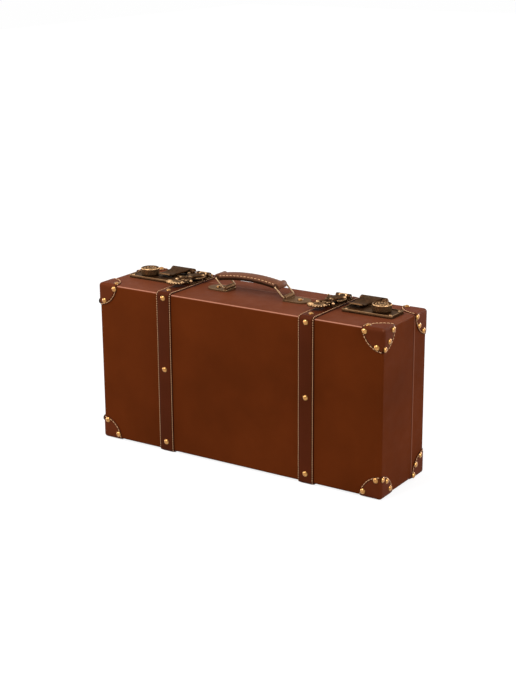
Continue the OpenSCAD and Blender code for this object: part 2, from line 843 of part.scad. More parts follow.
// Front plate of a strap buckle on the base, with the post that its hasp closes over
module buckle_catch(side) {
    color(bronze) on_side(side) translate([strap_x, 0, strap_top]) difference() {
        union() {
            buckle_plate(catch_y0, catch_y1);
            translate([0, knot_y, 0]) cylinder(h = buckle_t + post_h, r = post_r);
        }
        for (y = [catch_y0 + catch_screw_in, catch_y1 - catch_screw_in])
            translate([0, y, buckle_t]) stud_hole(shank_r, strap_screw_l);
    }
}

// Rear plate of a strap buckle on the lid, with two end knuckles
module buckle_hinge(side) {
    end_l = (buckle_w - buckle_mid_l) / 2 - side_gap;
    web = buckle_barrel_r - 1;
    color(bronze) on_side(side) translate([strap_x, 0, strap_top]) difference() {
        union() {
            buckle_plate(buckle_hinge_y0, buckle_hinge_y1);
            for (m = [0, 1]) mirror([m, 0, 0]) {
                translate([buckle_w / 2 - end_l, buckle_axis_y, buckle_pin_z]) rotate([0, 90, 0])
                    cylinder(h = end_l, r = buckle_barrel_r);
                box([buckle_w / 2 - end_l, buckle_axis_y - web, 0],
                    [buckle_w / 2, buckle_axis_y + web, buckle_pin_z - 1]);
            }
        }
        translate([0, buckle_axis_y, buckle_pin_z]) rotate([0, 90, 0])
            cylinder(h = far, r = buckle_pin_r + run_gap, center = true);
        translate([0, buckle_screw_y, buckle_t]) stud_hole(shank_r, strap_screw_l);
    }
}

// Outline and upper face of the buckle's hasp, at a distance y from the case's middle
function leaf_w(y) = leaf_hw * sqrt(max(0, 1 - pow(2 * (y - leaf_mid_y) / leaf_l, 2)));
function petal_w(y) = y < knot_y - petal_l || y > knot_y ? 0 : petal_hw * sin(180 * (knot_y - y) / petal_l);
function lobe_w(y) = y < knot_y || y > knot_y + lobe_l ? 0
    : lobe_hw * pow(sin(180 * (y - knot_y) / lobe_l), 0.6);
function buckle_mid(y) = -leaf_shift * ease((knot_y - y) / petal_l);
function buckle_hw(y) = max(leaf_w(y), petal_w(y), lobe_w(y), y < leaf_mid_y ? 0.4 : neck_hw);
function buckle_top(y) = leaf_z
    + (buckle_axis_z + buckle_barrel_r - leaf_z) * ease((y - knot_y) / (buckle_axis_y - knot_y))
    + knot_rise * exp(-pow((y - knot_y) / knot_spread, 2)) + leaf_lift * ease((curl_y - y) / curl_l);

// Hasp of a strap buckle: rear lobes, a crossed knot, front petals and a leaf tab, alike on both straps
module buckle_hasp(side) {
    y0 = leaf_mid_y - leaf_l / 2;
    y1 = buckle_axis_y;
    steps = 44;
    ys = [for (i = [0 : steps]) y0 + (y1 - y0) * i / steps];
    upper = [for (y = ys) [y, buckle_top(y)]];
    lower = [for (i = [steps : -1 : 0]) [ys[i], buckle_top(ys[i]) - buckle_hasp_t]];
    right = [for (y = ys) [buckle_mid(y) + buckle_hw(y), y]];
    left = [for (i = [steps : -1 : 0]) [buckle_mid(ys[i]) - buckle_hw(ys[i]), ys[i]]];
    knot_z = buckle_top(knot_y) - rod_sink;
    color(bronze) translate([side * strap_x, 0, 0]) difference() {
        union() {
            intersection() {
                rotate([90, 0, 90]) linear_extrude(far, center = true) polygon(concat(upper, lower));
                linear_extrude(far) polygon(concat(right, left));
            }
            for (turn = [90 - rod_turn, 90 + rod_turn])
                translate([0, knot_y, knot_z]) rotate([rod_tilt, 0, 0]) rotate([0, 90, turn]) {
                    cylinder(h = rod_l, r = rod_r, center = true);
                    for (s = [-1, 1]) translate([0, 0, s * rod_l / 2]) sphere(rod_r);
                }
            translate([0, knot_y, knot_z]) sphere(rod_r + 0.5);
            translate([0, buckle_axis_y, buckle_axis_z]) rotate([0, 90, 0])
                cylinder(h = buckle_mid_l, r = buckle_barrel_r, center = true);
        }
        translate([0, buckle_axis_y, buckle_axis_z]) rotate([0, 90, 0])
            cylinder(h = far, r = buckle_pin_r + run_gap, center = true);
    }
}

module buckle_pins() {
    color(steel) both_sides() translate([strap_x, buckle_axis_y, buckle_axis_z]) rotate([0, 90, 0])
        cylinder(h = buckle_w, r = buckle_pin_r, center = true);
}

// Handle plate with a round outer end and a rolled eye at its inner end
module handle_plate(side) {
    x0 = eye_x - 2.5;
    eye_l = grip_w;
    color(bronze) on_side(side) translate([0, grip_y, 0]) difference() {
        union() {
            box([x0, -plate_w / 2, top_z], [x0 + plate_l, plate_w / 2, top_z + plate_t]);
            translate([x0 + plate_l, 0, top_z]) cylinder(h = plate_t, r = plate_w / 2);
            translate([eye_x, 0, eye_z]) rotate([90, 0, 0]) cylinder(h = eye_l, r = eye_r, center = true);
            box([eye_x, -eye_l / 2, top_z], [eye_x + eye_r, eye_l / 2, eye_z]);
        }
        translate([eye_x, 0, eye_z]) rotate([90, 0, 0])
            cylinder(h = far, r = wire_r + run_gap, center = true);
        translate([plate_rivet_x, 0, top_z + plate_t]) stud_hole(nail_r, plate_nail_l);
    }
}

module handle_plate_rivets() {
    color(brass) plate_rivet_places() stud(rivet_r, rivet_h, nail_r, plate_nail_l);
}

// Wire loop whose lower bar turns in a plate's eye and whose upper bar carries the grip
module handle_loop(side) {
    straight_y = 2 * (loop_hw - bend_r);
    straight_z = loop_l - 2 * bend_r;
    color(steel) translate([side * eye_x, grip_y, eye_z]) rotate([0, -loop_lean, 0]) {
        for (z = [0, loop_l])
            translate([0, 0, z]) rotate([90, 0, 0]) cylinder(h = straight_y, r = wire_r, center = true);
        for (y = [-1, 1])
            translate([0, y * loop_hw, bend_r]) cylinder(h = straight_z, r = wire_r);
        for (k = [0 : 3]) {
            y = k < 2 ? loop_hw - bend_r : bend_r - loop_hw;
            z = k == 0 || k == 3 ? bend_r : loop_l - bend_r;
            translate([0, y, z]) rotate([90 * k, 0, 0]) rotate([0, 90, 0])
                rotate_extrude(angle = 90) translate([bend_r, 0]) circle(wire_r);
        }
    }
}

// Sweeps a section along the grip's arch: x in the section is height, y is across the grip
module along_arch(half_angle) {
    translate([loop_dx, grip_y, bar_z + grip_rise - arch_r]) rotate([-90, 0, 0])
        rotate([0, 0, -90 - half_angle]) rotate_extrude(angle = 2 * half_angle)
            translate([arch_r, 0]) children();
}

module core_section(gap) {
    square([core_t + 2 * gap, core_w + 2 * gap], center = true);
}

// Crowned leather grip with rolled ends around the loops' upper bars
module handle_grip() {
    w = grip_w / 2;
    edge = 1.8;
    end_over = 0.3;
    color(strap_brown) difference() {
        union() {
            along_arch(arch_half) polygon([
                [-grip_low, -w + 1.4], [-grip_low, w - 1.4], [-1, w], [edge - 0.8, w], [edge, w - 1],
                [grip_crown - 0.4, w * 0.5], [grip_crown, w * 0.2], [grip_crown, -w * 0.2],
                [grip_crown - 0.4, -w * 0.5], [edge, 1 - w], [edge - 0.8, -w], [-1, -w]
            ]);
            for (s = [-1, 1])
                translate([loop_dx + s * eye_x, grip_y, bar_z]) rotate([90, 0, 0])
                    cylinder(h = grip_w + 2 * end_over, r = grip_end_r, center = true);
        }
        along_arch(arch_half - core_inset) core_section(core_gap);
        translate([loop_dx - eye_x, grip_y, bar_z]) rotate([90, 0, 0])
            cylinder(h = far, r = wire_r + run_gap, center = true);
        translate([loop_dx + eye_x, grip_y, bar_z]) rotate([90, 0, 0])
            cylinder(h = far, r = wire_r + loose_gap, center = true);
    }
}

module handle_core() {
    end_gap = 0.05;
    color(steel) along_arch(arch_half - core_inset - end_gap) core_section(0);
}

// Leaves of the two back hinges on one shell, each with its share of the knuckles
module hinge_leaves(sy, spans) {
    both_sides() translate([hinge_x, seam_y, 0]) difference() {
        union() {
            box([-hinge_l / 2, min(sy * groove_r, sy * leaf_reach), low_z - leaf_t],
                [hinge_l / 2, max(sy * groove_r, sy * leaf_reach), low_z]);
            for (s = spans) {
                translate([s[0], 0, hinge_z]) rotate([0, 90, 0]) cylinder(h = s[1] - s[0], r = knuckle_r);
                box([s[0], min(0, sy * groove_r), low_z - leaf_t], [s[1], max(0, sy * groove_r), low_z]);
            }
        }
        translate([0, 0, hinge_z]) rotate([0, 90, 0])
            cylinder(h = far, r = hinge_pin_r + run_gap, center = true);
        for (x = [-1, 1])
            translate([x * leaf_screw_x, sy * leaf_screw_y, low_z - leaf_t]) rotate([180, 0, 0])
                stud_hole(shank_r, hinge_screw_l);
    }
}

module hinge_base_leaves() {
    end = hinge_l / 2;
    color(bronze) hinge_leaves(-1, [[-end, knuckle_l - end], [end - knuckle_l, end]]);
}

module hinge_lid_leaves() {
    color(bronze) hinge_leaves(1, [[-knuckle_l / 2, knuckle_l / 2]]);
}

module hinge_pins() {
    color(steel) both_sides() translate([hinge_x, seam_y, hinge_z]) rotate([0, 90, 0])
        cylinder(h = hinge_l, r = hinge_pin_r, center = true);
}

module hinge_base_screws() {
    color(bronze) hinge_screw_places(-1) stud(hinge_screw_r, hinge_screw_h, shank_r, hinge_screw_l);
}

module hinge_lid_screws() {
    color(bronze) hinge_screw_places(1) stud(hinge_screw_r, hinge_screw_h, shank_r, hinge_screw_l);
}

base_front_panel();
base_top_board();
base_bottom_board();
base_left_board();
base_right_board();
base_cover();
base_lining();
base_strap(-1);  // base_strap_left
base_strap(1);  // base_strap_right
patch(-1, -1, 1);  // base_patch_top_left
patch(1, -1, 1);  // base_patch_top_right
patch(-1, -1, -1);  // base_patch_bottom_left
patch(1, -1, -1);  // base_patch_bottom_right
base_rivets();
base_hardware_screws();
lid_back_panel();
lid_top_board();
lid_bottom_board();
lid_left_board();
lid_right_board();
lid_cover();
lid_lining();
lid_strap(-1);  // lid_strap_left
lid_strap(1);  // lid_strap_right
patch(-1, 1, 1);  // lid_patch_top_left
patch(1, 1, 1);  // lid_patch_top_right
patch(-1, 1, -1);  // lid_patch_bottom_left
patch(1, 1, -1);  // lid_patch_bottom_right
lid_rivets();
lid_hardware_screws();
lock_plate(-1);  // lock_plate_left
lock_plate(1);  // lock_plate_right
lock_knob(-1);  // lock_knob_left
lock_knob(1);  // lock_knob_right
lock_hinge(-1);  // lock_hinge_left
lock_hinge(1);  // lock_hinge_right
lock_hasp(-1);  // lock_hasp_left
lock_hasp(1);  // lock_hasp_right
lock_pins();
buckle_catch(-1);  // buckle_catch_left
buckle_catch(1);  // buckle_catch_right
buckle_hinge(-1);  // buckle_hinge_left
buckle_hinge(1);  // buckle_hinge_right
buckle_hasp(-1);  // buckle_hasp_left
buckle_hasp(1);  // buckle_hasp_right
buckle_pins();
handle_plate(-1);  // handle_plate_left
handle_plate(1);  // handle_plate_right
handle_plate_rivets();
handle_loop(-1);  // handle_loop_left
handle_loop(1);  // handle_loop_right
handle_grip();
handle_core();
hinge_base_leaves();
hinge_lid_leaves();
hinge_pins();
hinge_base_screws();
hinge_lid_screws();
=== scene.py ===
"""Looks of the wooden suitcase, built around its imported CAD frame. Lengths are in millimetres unless said."""

import json
import math

import bmesh
import bpy
from mathutils import Matrix, Vector

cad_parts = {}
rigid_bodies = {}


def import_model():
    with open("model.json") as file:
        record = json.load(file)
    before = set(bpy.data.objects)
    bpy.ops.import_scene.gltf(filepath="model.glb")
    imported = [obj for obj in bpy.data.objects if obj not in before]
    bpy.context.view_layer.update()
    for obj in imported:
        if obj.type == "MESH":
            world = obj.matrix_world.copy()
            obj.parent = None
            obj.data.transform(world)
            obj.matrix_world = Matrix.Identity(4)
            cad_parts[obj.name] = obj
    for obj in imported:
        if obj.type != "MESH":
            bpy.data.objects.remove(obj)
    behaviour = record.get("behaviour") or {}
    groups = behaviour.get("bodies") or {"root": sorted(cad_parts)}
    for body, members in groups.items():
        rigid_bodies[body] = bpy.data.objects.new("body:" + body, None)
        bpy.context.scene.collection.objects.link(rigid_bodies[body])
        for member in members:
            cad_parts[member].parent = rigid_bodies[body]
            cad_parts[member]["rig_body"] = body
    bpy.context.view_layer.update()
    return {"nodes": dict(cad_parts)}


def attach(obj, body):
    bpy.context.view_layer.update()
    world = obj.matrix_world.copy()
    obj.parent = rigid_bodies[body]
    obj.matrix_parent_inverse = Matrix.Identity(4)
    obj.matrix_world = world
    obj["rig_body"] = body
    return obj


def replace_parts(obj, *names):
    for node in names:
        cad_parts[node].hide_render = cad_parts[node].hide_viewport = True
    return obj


MM = 0.001

# The case, with its sizes as in the CAD part
HALF_L = 251.0
HALF_D = 65.5
HALF_H = 126.0
LOW_Z = 2.7
TOP_Z = 254.7
MID_Z = 128.7
EDGE_R = 3.5
SEAM_Y = 27.5
BASE_END = 27.25
LID_END = 27.75

# Straps and corner patches. Under the case, a strap stops short of the seam.
STRAP_X = 126.5
STRAP_T = 2.7
STRAP_STOP = 3.5
STRAP_TOP = TOP_Z + STRAP_T
PATCH_T = 1.5
PATCH_R = 36.0
LID_PATCH_R = 38.5
PATCH_GROWS_FROM = 14.0
THREAD_R = 0.62

# Rivets and screws
RIVET_R = 4.6
RIVET_H = 2.5
SCREW_R = 2.4
SCREW_H = 1.2
HEAD_SINK = 0.1
RIVET_LIP_H = 0.22
RIVET_CAP_SHARE = 0.97

# Locks: the plate's ends, front, back and top, then the knob, the hasp and its hinge plate
LOCK_X0 = 152.0
LOCK_X1 = 235.0
LOCK_Y0 = -11.5
LOCK_Y1 = 26.5
LOCK_TOP = 258.2
LOCK_SCREW_IN = 5.5
LOCK_RIM_H = 0.9
LOCK_RIM_W = 2.0
KNOB = Vector((208.0, 9.0, 258.6))
BEADS = 13
BEAD_RING_R = 9.0
BEAD_R = 1.6
BEAD_Z = 9.9
BEAD_TURN = 0.3
HASP_X = 172.5
HASP_FRONT = 6.0
TAB_WORN_L = 2.5
HINGE_PLATE_T = 1.2
HINGE_SCREW_X = 19.0
HINGE_SCREW_Y = 36.0

# Strap buckles, from the pin in the barrel forwards to the leaf tab
BUCKLE_T = 1.8
BUCKLE_Y = 40.5
BUCKLE_Z = 263.2
BARREL_R = 3.6
BARREL_L = 13.4
BARREL_BORE_R = 1.3
BARREL_EDGE = 0.3
LOBE_L = 32.0
LOBE_HW = 15.5
LOBE_MID = 17.0
KNOT_Y = 3.0
KNOT_H = 3.2
KNOT_SPREAD = 10.0
PETAL_L = 14.0
PETAL_HW = 10.0
LEAF_Y = -25.0
LEAF_R = 16.0
LEAF_Z = 263.0
LEAF_SHIFT = 5.0
LEAF_LIFT = 2.2
LEAF_LIFT_L = 20.0
LEAF_NECK_Y = LEAF_Y + 18.0
LEAF_TIP_Y = LEAF_Y - 15.9
LEAF_RIM_R = 14.4
NECK_HW = 4.2
TIP_HW = 0.5

# Handle: the eyes of its plates, its wire loops and the arch of its grip
HANDLE_PLATE_T = 2.6
HANDLE_RIVET_OUT = 20.0
EYE_X = 53.25
EYE_Z = 260.6
GRIP_Y = 4.5
WIRE_R = 1.3
LOOP_L = 21.0
LOOP_HW = 15.0
LOOP_BEND = 2.6
LOOP_LEAN = math.radians(46)
BAR_X = -LOOP_L * math.sin(LOOP_LEAN)
BAR_Z = EYE_Z + LOOP_L * math.cos(LOOP_LEAN)
ARCH_RISE = 5.5
ARCH_R = (EYE_X**2 + ARCH_RISE**2) / (2 * ARCH_RISE)

# Points nearer than these are one point
WELD = 0.002
CAD_WELD = 0.004

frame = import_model()


def ease(u):
    """Rises smoothly from 0 to 1 as u goes from 0 to 1."""
    return (1 - math.cos(math.pi * min(1.0, max(0.0, u)))) / 2


def spread(first, last, count):
    """Evenly spaced values from first to last."""
    return [first + (last - first) * i / (count - 1) for i in range(count)]


def facing(point, normal):
    """A place at point whose z axis is normal."""
    tilt = Vector(normal).to_track_quat("Z", "Y").to_matrix().to_4x4()
    return Matrix.Translation(point) @ tilt


class Shape:
    """Points, faces and named masks of one piece."""

    def __init__(self):
        self.points = []
        self.faces = []
        self.masks = {}

    def add(self, points, faces, **masks):
        first = len(self.points)
        self.points += [Vector(p) for p in points]
        self.faces += [[first + i for i in f] for f in faces]
        for name, values in masks.items():
            store = self.masks.setdefault(name, {})
            store.update({first + i: v for i, v in enumerate(values)})

    def skin(self, rows, loop=False, closed=False, caps=False, **masks):
        """Faces between rows of points. A mask holds a value for each row, or for each point."""
        n = len(rows[0])
        m = len(rows)
        faces = []
        for i in range(m if closed else m - 1):
            a = i * n
            b = (i + 1) % m * n
            for j in range(n if loop else n - 1):
                k = (j + 1) % n
                faces.append((a + j, a + k, b + k, b + j))
        if caps:
            faces.append(range(n - 1, -1, -1))
            faces.append(range((m - 1) * n, m * n))
        spread_out = {
            name: values if len(values) == n * m else [v for v in values for _ in range(n)]
            for name, values in masks.items()
        }
        self.add([p for row in rows for p in row], faces, **spread_out)

    def lathe(self, profile, place, steps=24, **masks):
        """Turns a profile of radius and height round the place's z axis."""
        turns = [2 * math.pi * i / steps for i in range(steps)]
        rows = []
        for r, z in profile:
            rows.append([place @ Vector((r * math.cos(t), r * math.sin(t), z)) for t in turns])
        self.skin(rows, loop=True, **masks)

    def tube(self, path, radii, side, closed=False, steps=8, **masks):
        """A round tube along a path that lies about square to the direction side."""
        side = Vector(side)
        count = len(path)
        angles = [2 * math.pi * k / steps for k in range(steps)]
        rows = []
        for i, p in enumerate(path):
            before = path[i - 1] if closed or i else path[0]
            after = path[(i + 1) % count] if closed or i < count - 1 else path[-1]
            along = (Vector(after) - Vector(before)).normalized()
            u = along.cross(side).normalized()
            v = along.cross(u)
            r = radii[i] if isinstance(radii, list) else radii
            rows.append([Vector(p) + r * (math.cos(t) * u + math.sin(t) * v) for t in angles])
        self.skin(rows, loop=True, closed=closed, caps=not closed, **masks)

    def ball(self, centre, r, steps=12, **masks):
        """A ball, with one value for each mask."""
        rings = steps // 2
        turns = [math.pi * i / rings for i in range(rings + 1)]
        profile = [(r * math.sin(t), -r * math.cos(t)) for t in turns]
        values = {name: [v] * len(profile) for name, v in masks.items()}
        self.lathe(profile, Matrix.Translation(centre), steps, **values)

    def stitch(self, a, b, normal, r):
        """One sewn thread from a to b, its ends going down into the leather."""
        a = Vector(a)
        b = Vector(b)
        normal = Vector(normal).normalized()
        # The place along it, with its height and thickness as shares of the thread's radius
        spans = [(0.0, -1.0, 0.7), (0.12, 0.1, 0.95), (0.5, 0.45, 1.0), (0.88, 0.1, 0.95), (1.0, -1.0, 0.7)]
        path = [a.lerp(b, t) + normal * lift * r for t, lift, _ in spans]
        self.tube(path, [r * s for _, _, s in spans], normal, steps=6)


def walk(line, pitch, length, inset=2.0):
    """Ends and normals of the stitches along a line of points and normals, inset from both of its ends."""
    marks = [0.0]
    for (p, _), (q, _) in zip(line, line[1:]):
        marks.append(marks[-1] + (q - p).length)

    def at(s):
        i = max(k for k in range(len(marks) - 1) if marks[k] <= s or k == 0)
        f = (s - marks[i]) / (marks[i + 1] - marks[i])
        return line[i][0].lerp(line[i + 1][0], f), line[i][1].lerp(line[i + 1][1], f)

    room = marks[-1] - 2 * inset - length
    count = max(1, round(room / pitch))
    found = []
    for i in range(count + 1):
        s = inset + room * i / count
        a, n = at(s)
        b, _ = at(s + length)
        found.append((a, b, n))
    return found


def show(shape, name, body, finish, sharp=35):
    """Makes the shape a piece that rides on a body."""
    mesh = bpy.data.meshes.new(name)
    mesh.from_pydata([p * MM for p in shape.points], [], shape.faces)
    for key, values in shape.masks.items():
        layer = mesh.attributes.new(key, "FLOAT", "POINT")
        layer.data.foreach_set("value", [values.get(i, 0.0) for i in range(len(shape.points))])
    work = bmesh.new()
    work.from_mesh(mesh)
    bmesh.ops.remove_doubles(work, verts=work.verts, dist=WELD * MM)
    bmesh.ops.recalc_face_normals(work, faces=work.faces)
    work.to_mesh(mesh)
    work.free()
    return settle(mesh, name, body, finish, sharp)


def settle(mesh, name, body, finish, sharp):
    """Adds a mesh to the scene as a piece that rides on a body. Edges over sharp degrees stay sharp."""
    mesh.shade_smooth()
    mesh.set_sharp_from_angle(angle=math.radians(sharp))
    mesh.materials.clear()
    mesh.materials.append(finish)
    obj = bpy.data.objects.new(name, mesh)
    bpy.context.scene.collection.objects.link(obj)
    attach(obj, body)
    return obj


def soften(node, name, finish, width, sharp=28, edge_mask=None):
    """A copy of a CAD node with rounded edges, which replaces the node. Its rounds carry the mask edge.
    The function edge_mask gives the mask at any other point."""
    source = frame["nodes"][node]
    work = bmesh.new()
    work.from_mesh(source.data)
    for layer in list(work.verts.layers.float.values()):
        work.verts.layers.float.remove(layer)
    bmesh.ops.remove_doubles(work, verts=work.verts, dist=CAD_WELD * MM)
    bmesh.ops.dissolve_limit(
        work,
        angle_limit=math.radians(0.4),
        verts=work.verts,
        edges=work.edges,
        use_dissolve_boundaries=False,
    )
    bmesh.ops.recalc_face_normals(work, faces=work.faces)
    limit = math.radians(sharp)
    edges = [e for e in work.edges if len(e.link_faces) == 2 and e.calc_face_angle(0.0) > limit]
    made = bmesh.ops.bevel(
        work,
        geom=edges,
        offset=width * MM,
        segments=2,
        profile=0.5,
        affect="EDGES",
        clamp_overlap=True,
        offset_type="OFFSET",
    )
    rounds = set(made["faces"])
    layer = work.verts.layers.float.new("edge")
    for v in work.verts:
        if edge_mask:
            v[layer] = edge_mask(v.co / MM)
        if v.link_faces and all(f in rounds for f in v.link_faces):
            v[layer] = 1.0
    mesh = bpy.data.meshes.new(name)
    work.to_mesh(mesh)
    work.free()
    obj = settle(mesh, name, source["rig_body"], finish, sharp)
    level = obj.modifiers.new("even", "WEIGHTED_NORMAL")
    level.keep_sharp = True
    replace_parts(obj, node)
    return obj


def srgb(r, g, b):
    """A colour as seen, 0 to 255, in the linear values that shaders take."""
    parts = [c / 255 for c in (r, g, b)]
    return [c / 12.92 if c <= 0.04045 else ((c + 0.055) / 1.055) ** 2.4 for c in parts] + [1.0]


def give(tree, socket, value):
    """Joins an input to an output, or sets what it holds."""
    if isinstance(value, bpy.types.NodeSocket):
        tree.links.new(value, socket)
    else:
        socket.default_value = value


def node(tree, kind, values=None, **settings):
    """Adds a shader node, with its settings and with what each input holds or is joined to."""
    made = tree.nodes.new("ShaderNode" + kind)
    for key, value in settings.items():
        setattr(made, key, value)
    for key, value in (values or {}).items():
        give(tree, made.inputs[key], value)
    return made


def blend_colour(tree, factor, a, b):
    """Colour a where the factor is 0, and b where it is 1."""
    made = node(tree, "Mix", data_type="RGBA")
    # Its inputs and outputs for colours come after those for plain values, so they go by number
    for index, value in ((0, factor), (6, a), (7, b)):
        give(tree, made.inputs[index], value)
    return made.outputs[2]


def ramp(tree, value, low, high, to_low=0.0, to_high=1.0):
    """Takes a value from one range to another, and holds it at the ends."""
    made = node(tree, "MapRange", {0: value, 1: low, 2: high, 3: to_low, 4: to_high}, clamp=True)
    return made.outputs[0]


def maths(tree, kind, a, b=0.0):
    return node(tree, "Math", {0: a, 1: b}, operation=kind).outputs[0]


def own_place(tree):
    """Where a point lies on its piece, in metres."""
    return node(tree, "TexCoord").outputs["Object"]


def noise(tree, scale, detail, rough=0.5, place=None):
    """Cloudy noise from 0 to 1, laid out by the piece's own place unless another is given."""
    values = {"Vector": place or own_place(tree), "Scale": scale, "Detail": detail, "Roughness": rough}
    return node(tree, "TexNoise", values).outputs[0]


def effect(name, inputs, outputs):
    """A new group of shader nodes with named inputs and outputs."""
    tree = bpy.data.node_groups.new(name, "ShaderNodeTree")
    for label, value in inputs:
        socket = tree.interface.new_socket(label, in_out="INPUT", socket_type="NodeSocketFloat")
        socket.default_value = value
    for label in outputs:
        kind = "NodeSocketColor" if label.endswith("Colour") else "NodeSocketFloat"
        tree.interface.new_socket(label, in_out="OUTPUT", socket_type=kind)
    return tree, tree.nodes.new("NodeGroupInput").outputs, tree.nodes.new("NodeGroupOutput").inputs


def use(tree, group, **values):
    """Puts a group into a tree, and gives its outputs."""
    made = tree.nodes.new("ShaderNodeGroup")
    made.node_tree = group
    for key, value in values.items():
        give(tree, made.inputs[key], value)
    return made.outputs


def make_leather_grain():
    """Small cells and creases of grained leather. Cell is the number of cells in a metre."""
    tree, given, out = effect("leather_grain", [("Cell", 700.0), ("Crease", 0.5)], ["Height", "Tone"])
    layout = {"Vector": own_place(tree), "Scale": given["Cell"]}
    cells = node(tree, "TexVoronoi", layout, feature="SMOOTH_F1")
    folds = noise(tree, maths(tree, "MULTIPLY", given["Cell"], 0.07), 6.0, 0.6)
    pits = maths(tree, "MULTIPLY", folds, given["Crease"])
    bumps = maths(tree, "SUBTRACT", 1.0, cells.outputs["Distance"])
    tree.links.new(maths(tree, "ADD", bumps, pits), out["Height"])
    tree.links.new(ramp(tree, folds, 0.3, 0.7), out["Tone"])
    return tree


def make_box_edges():
    """Masks of a boxy piece from its own normals: its rounded edges, weaker along its ends, which place a
    painted highlight, and its top, which places a painted sheen.
    """
    tree, given, out = effect("box_edges", [("Softness", 0.2)], ["Mask", "Upper"])
    own = node(tree, "SeparateXYZ", {0: node(tree, "TexCoord").outputs["Normal"]}).outputs
    sizes = [maths(tree, "ABSOLUTE", own[i]) for i in range(3)]
    largest = maths(tree, "MAXIMUM", maths(tree, "MAXIMUM", sizes[0], sizes[1]), sizes[2])
    low = maths(tree, "SUBTRACT", 0.97, given["Softness"])
    flat = node(tree, "MapRange", {0: largest, 1: low, 2: 0.97, 3: 1.0, 4: 0.0})
    along = ramp(tree, sizes[0], 0.05, 0.4, 1.0, 0.3)
    tree.links.new(maths(tree, "MULTIPLY", flat.outputs[0], along), out["Mask"])
    tree.links.new(ramp(tree, own[2], 0.15, 0.7), out["Upper"])
    return tree


def make_rubbed():
    """A mask of edges broken up by noise: rubbed wear on most pieces, and also the painted highlight along the
    leatherette's upper edges and the painted shade under the grip.
    """
    inputs = [("Edge", 0.0), ("Scale", 300.0), ("Amount", 0.5)]
    tree, given, out = effect("rubbed", inputs, ["Mask"])
    spots = noise(tree, given["Scale"], 5.0, 0.65)
    lean = maths(tree, "ADD", maths(tree, "SUBTRACT", spots, 0.5), given["Amount"])
    both = maths(tree, "MULTIPLY", given["Edge"], maths(tree, "ADD", lean, 0.5))
    tree.links.new(ramp(tree, both, 0.25, 0.75), out["Mask"])
    return tree


def make_patina():
    """Colour and roughness of old bronze. Rub is 1 where use polishes it, Clean is 1 without tarnish."""
    inputs = [("Rub", 0.0), ("Scale", 260.0), ("Clean", 0.0)]
    tree, given, out = effect("patina", inputs, ["Colour", "Roughness"])
    tone = ramp(tree, noise(tree, given["Scale"], 6.0, 0.7), 0.35, 0.68)
    old = blend_colour(tree, tone, srgb(42, 25, 14), srgb(84, 55, 33))
    clean = blend_colour(tree, given["Clean"], old, srgb(142, 108, 78))
    bright = blend_colour(tree, given["Rub"], clean, srgb(196, 156, 112))
    tree.links.new(bright, out["Colour"])
    cast_rough = ramp(tree, tone, 0.0, 1.0, 0.52, 0.4)
    polish = maths(tree, "MULTIPLY", given["Rub"], 0.12)
    tree.links.new(maths(tree, "SUBTRACT", cast_rough, polish), out["Roughness"])
    return tree


leather_grain = make_leather_grain()
box_edges = make_box_edges()
rubbed = make_rubbed()
patina = make_patina()


def new_material(name):
    """A material, with its tree and its Principled shader."""
    material = bpy.data.materials.new(name)
    material.use_nodes = True
    tree = material.node_tree
    return material, tree, tree.nodes["Principled BSDF"]


def join(tree, shader, **values):
    """Sets the shader's main inputs, or joins them to what is given."""
    names = {"colour": "Base Color", "rough": "Roughness", "metal": "Metallic", "normal": "Normal"}
    for key, value in values.items():
        give(tree, shader.inputs[names[key]], value)


def bump(tree, height, strength, distance):
    """Normals from a height. Distance is in metres."""
    return node(tree, "Bump", {"Strength": strength, "Distance": distance, "Height": height}).outputs[0]


def band(tree, value, low, high):
    """1 between two places given in millimetres, of a value in metres."""
    above = maths(tree, "GREATER_THAN", value, low * MM)
    return maths(tree, "MULTIPLY", above, maths(tree, "LESS_THAN", value, high * MM))


def mask(tree, name):
    """A mask that the piece's points carry."""
    return node(tree, "Attribute", attribute_name=name).outputs["Fac"]


# Painted sheen: a pale colour blended into the top of a boxy piece, standing in for the soft reflection on it.
PAINTED_TOP_SHEEN = srgb(150, 100, 80)
SEAM_SHADE = srgb(52, 18, 6)
SEAM_W = 2.4
# Dark of the stitch grooves and cut side walls: the leather's dark edge dye together with painted shade in the
# grooves and along the walls.
GROOVE_DYE_AND_SHADE = srgb(48, 18, 8)


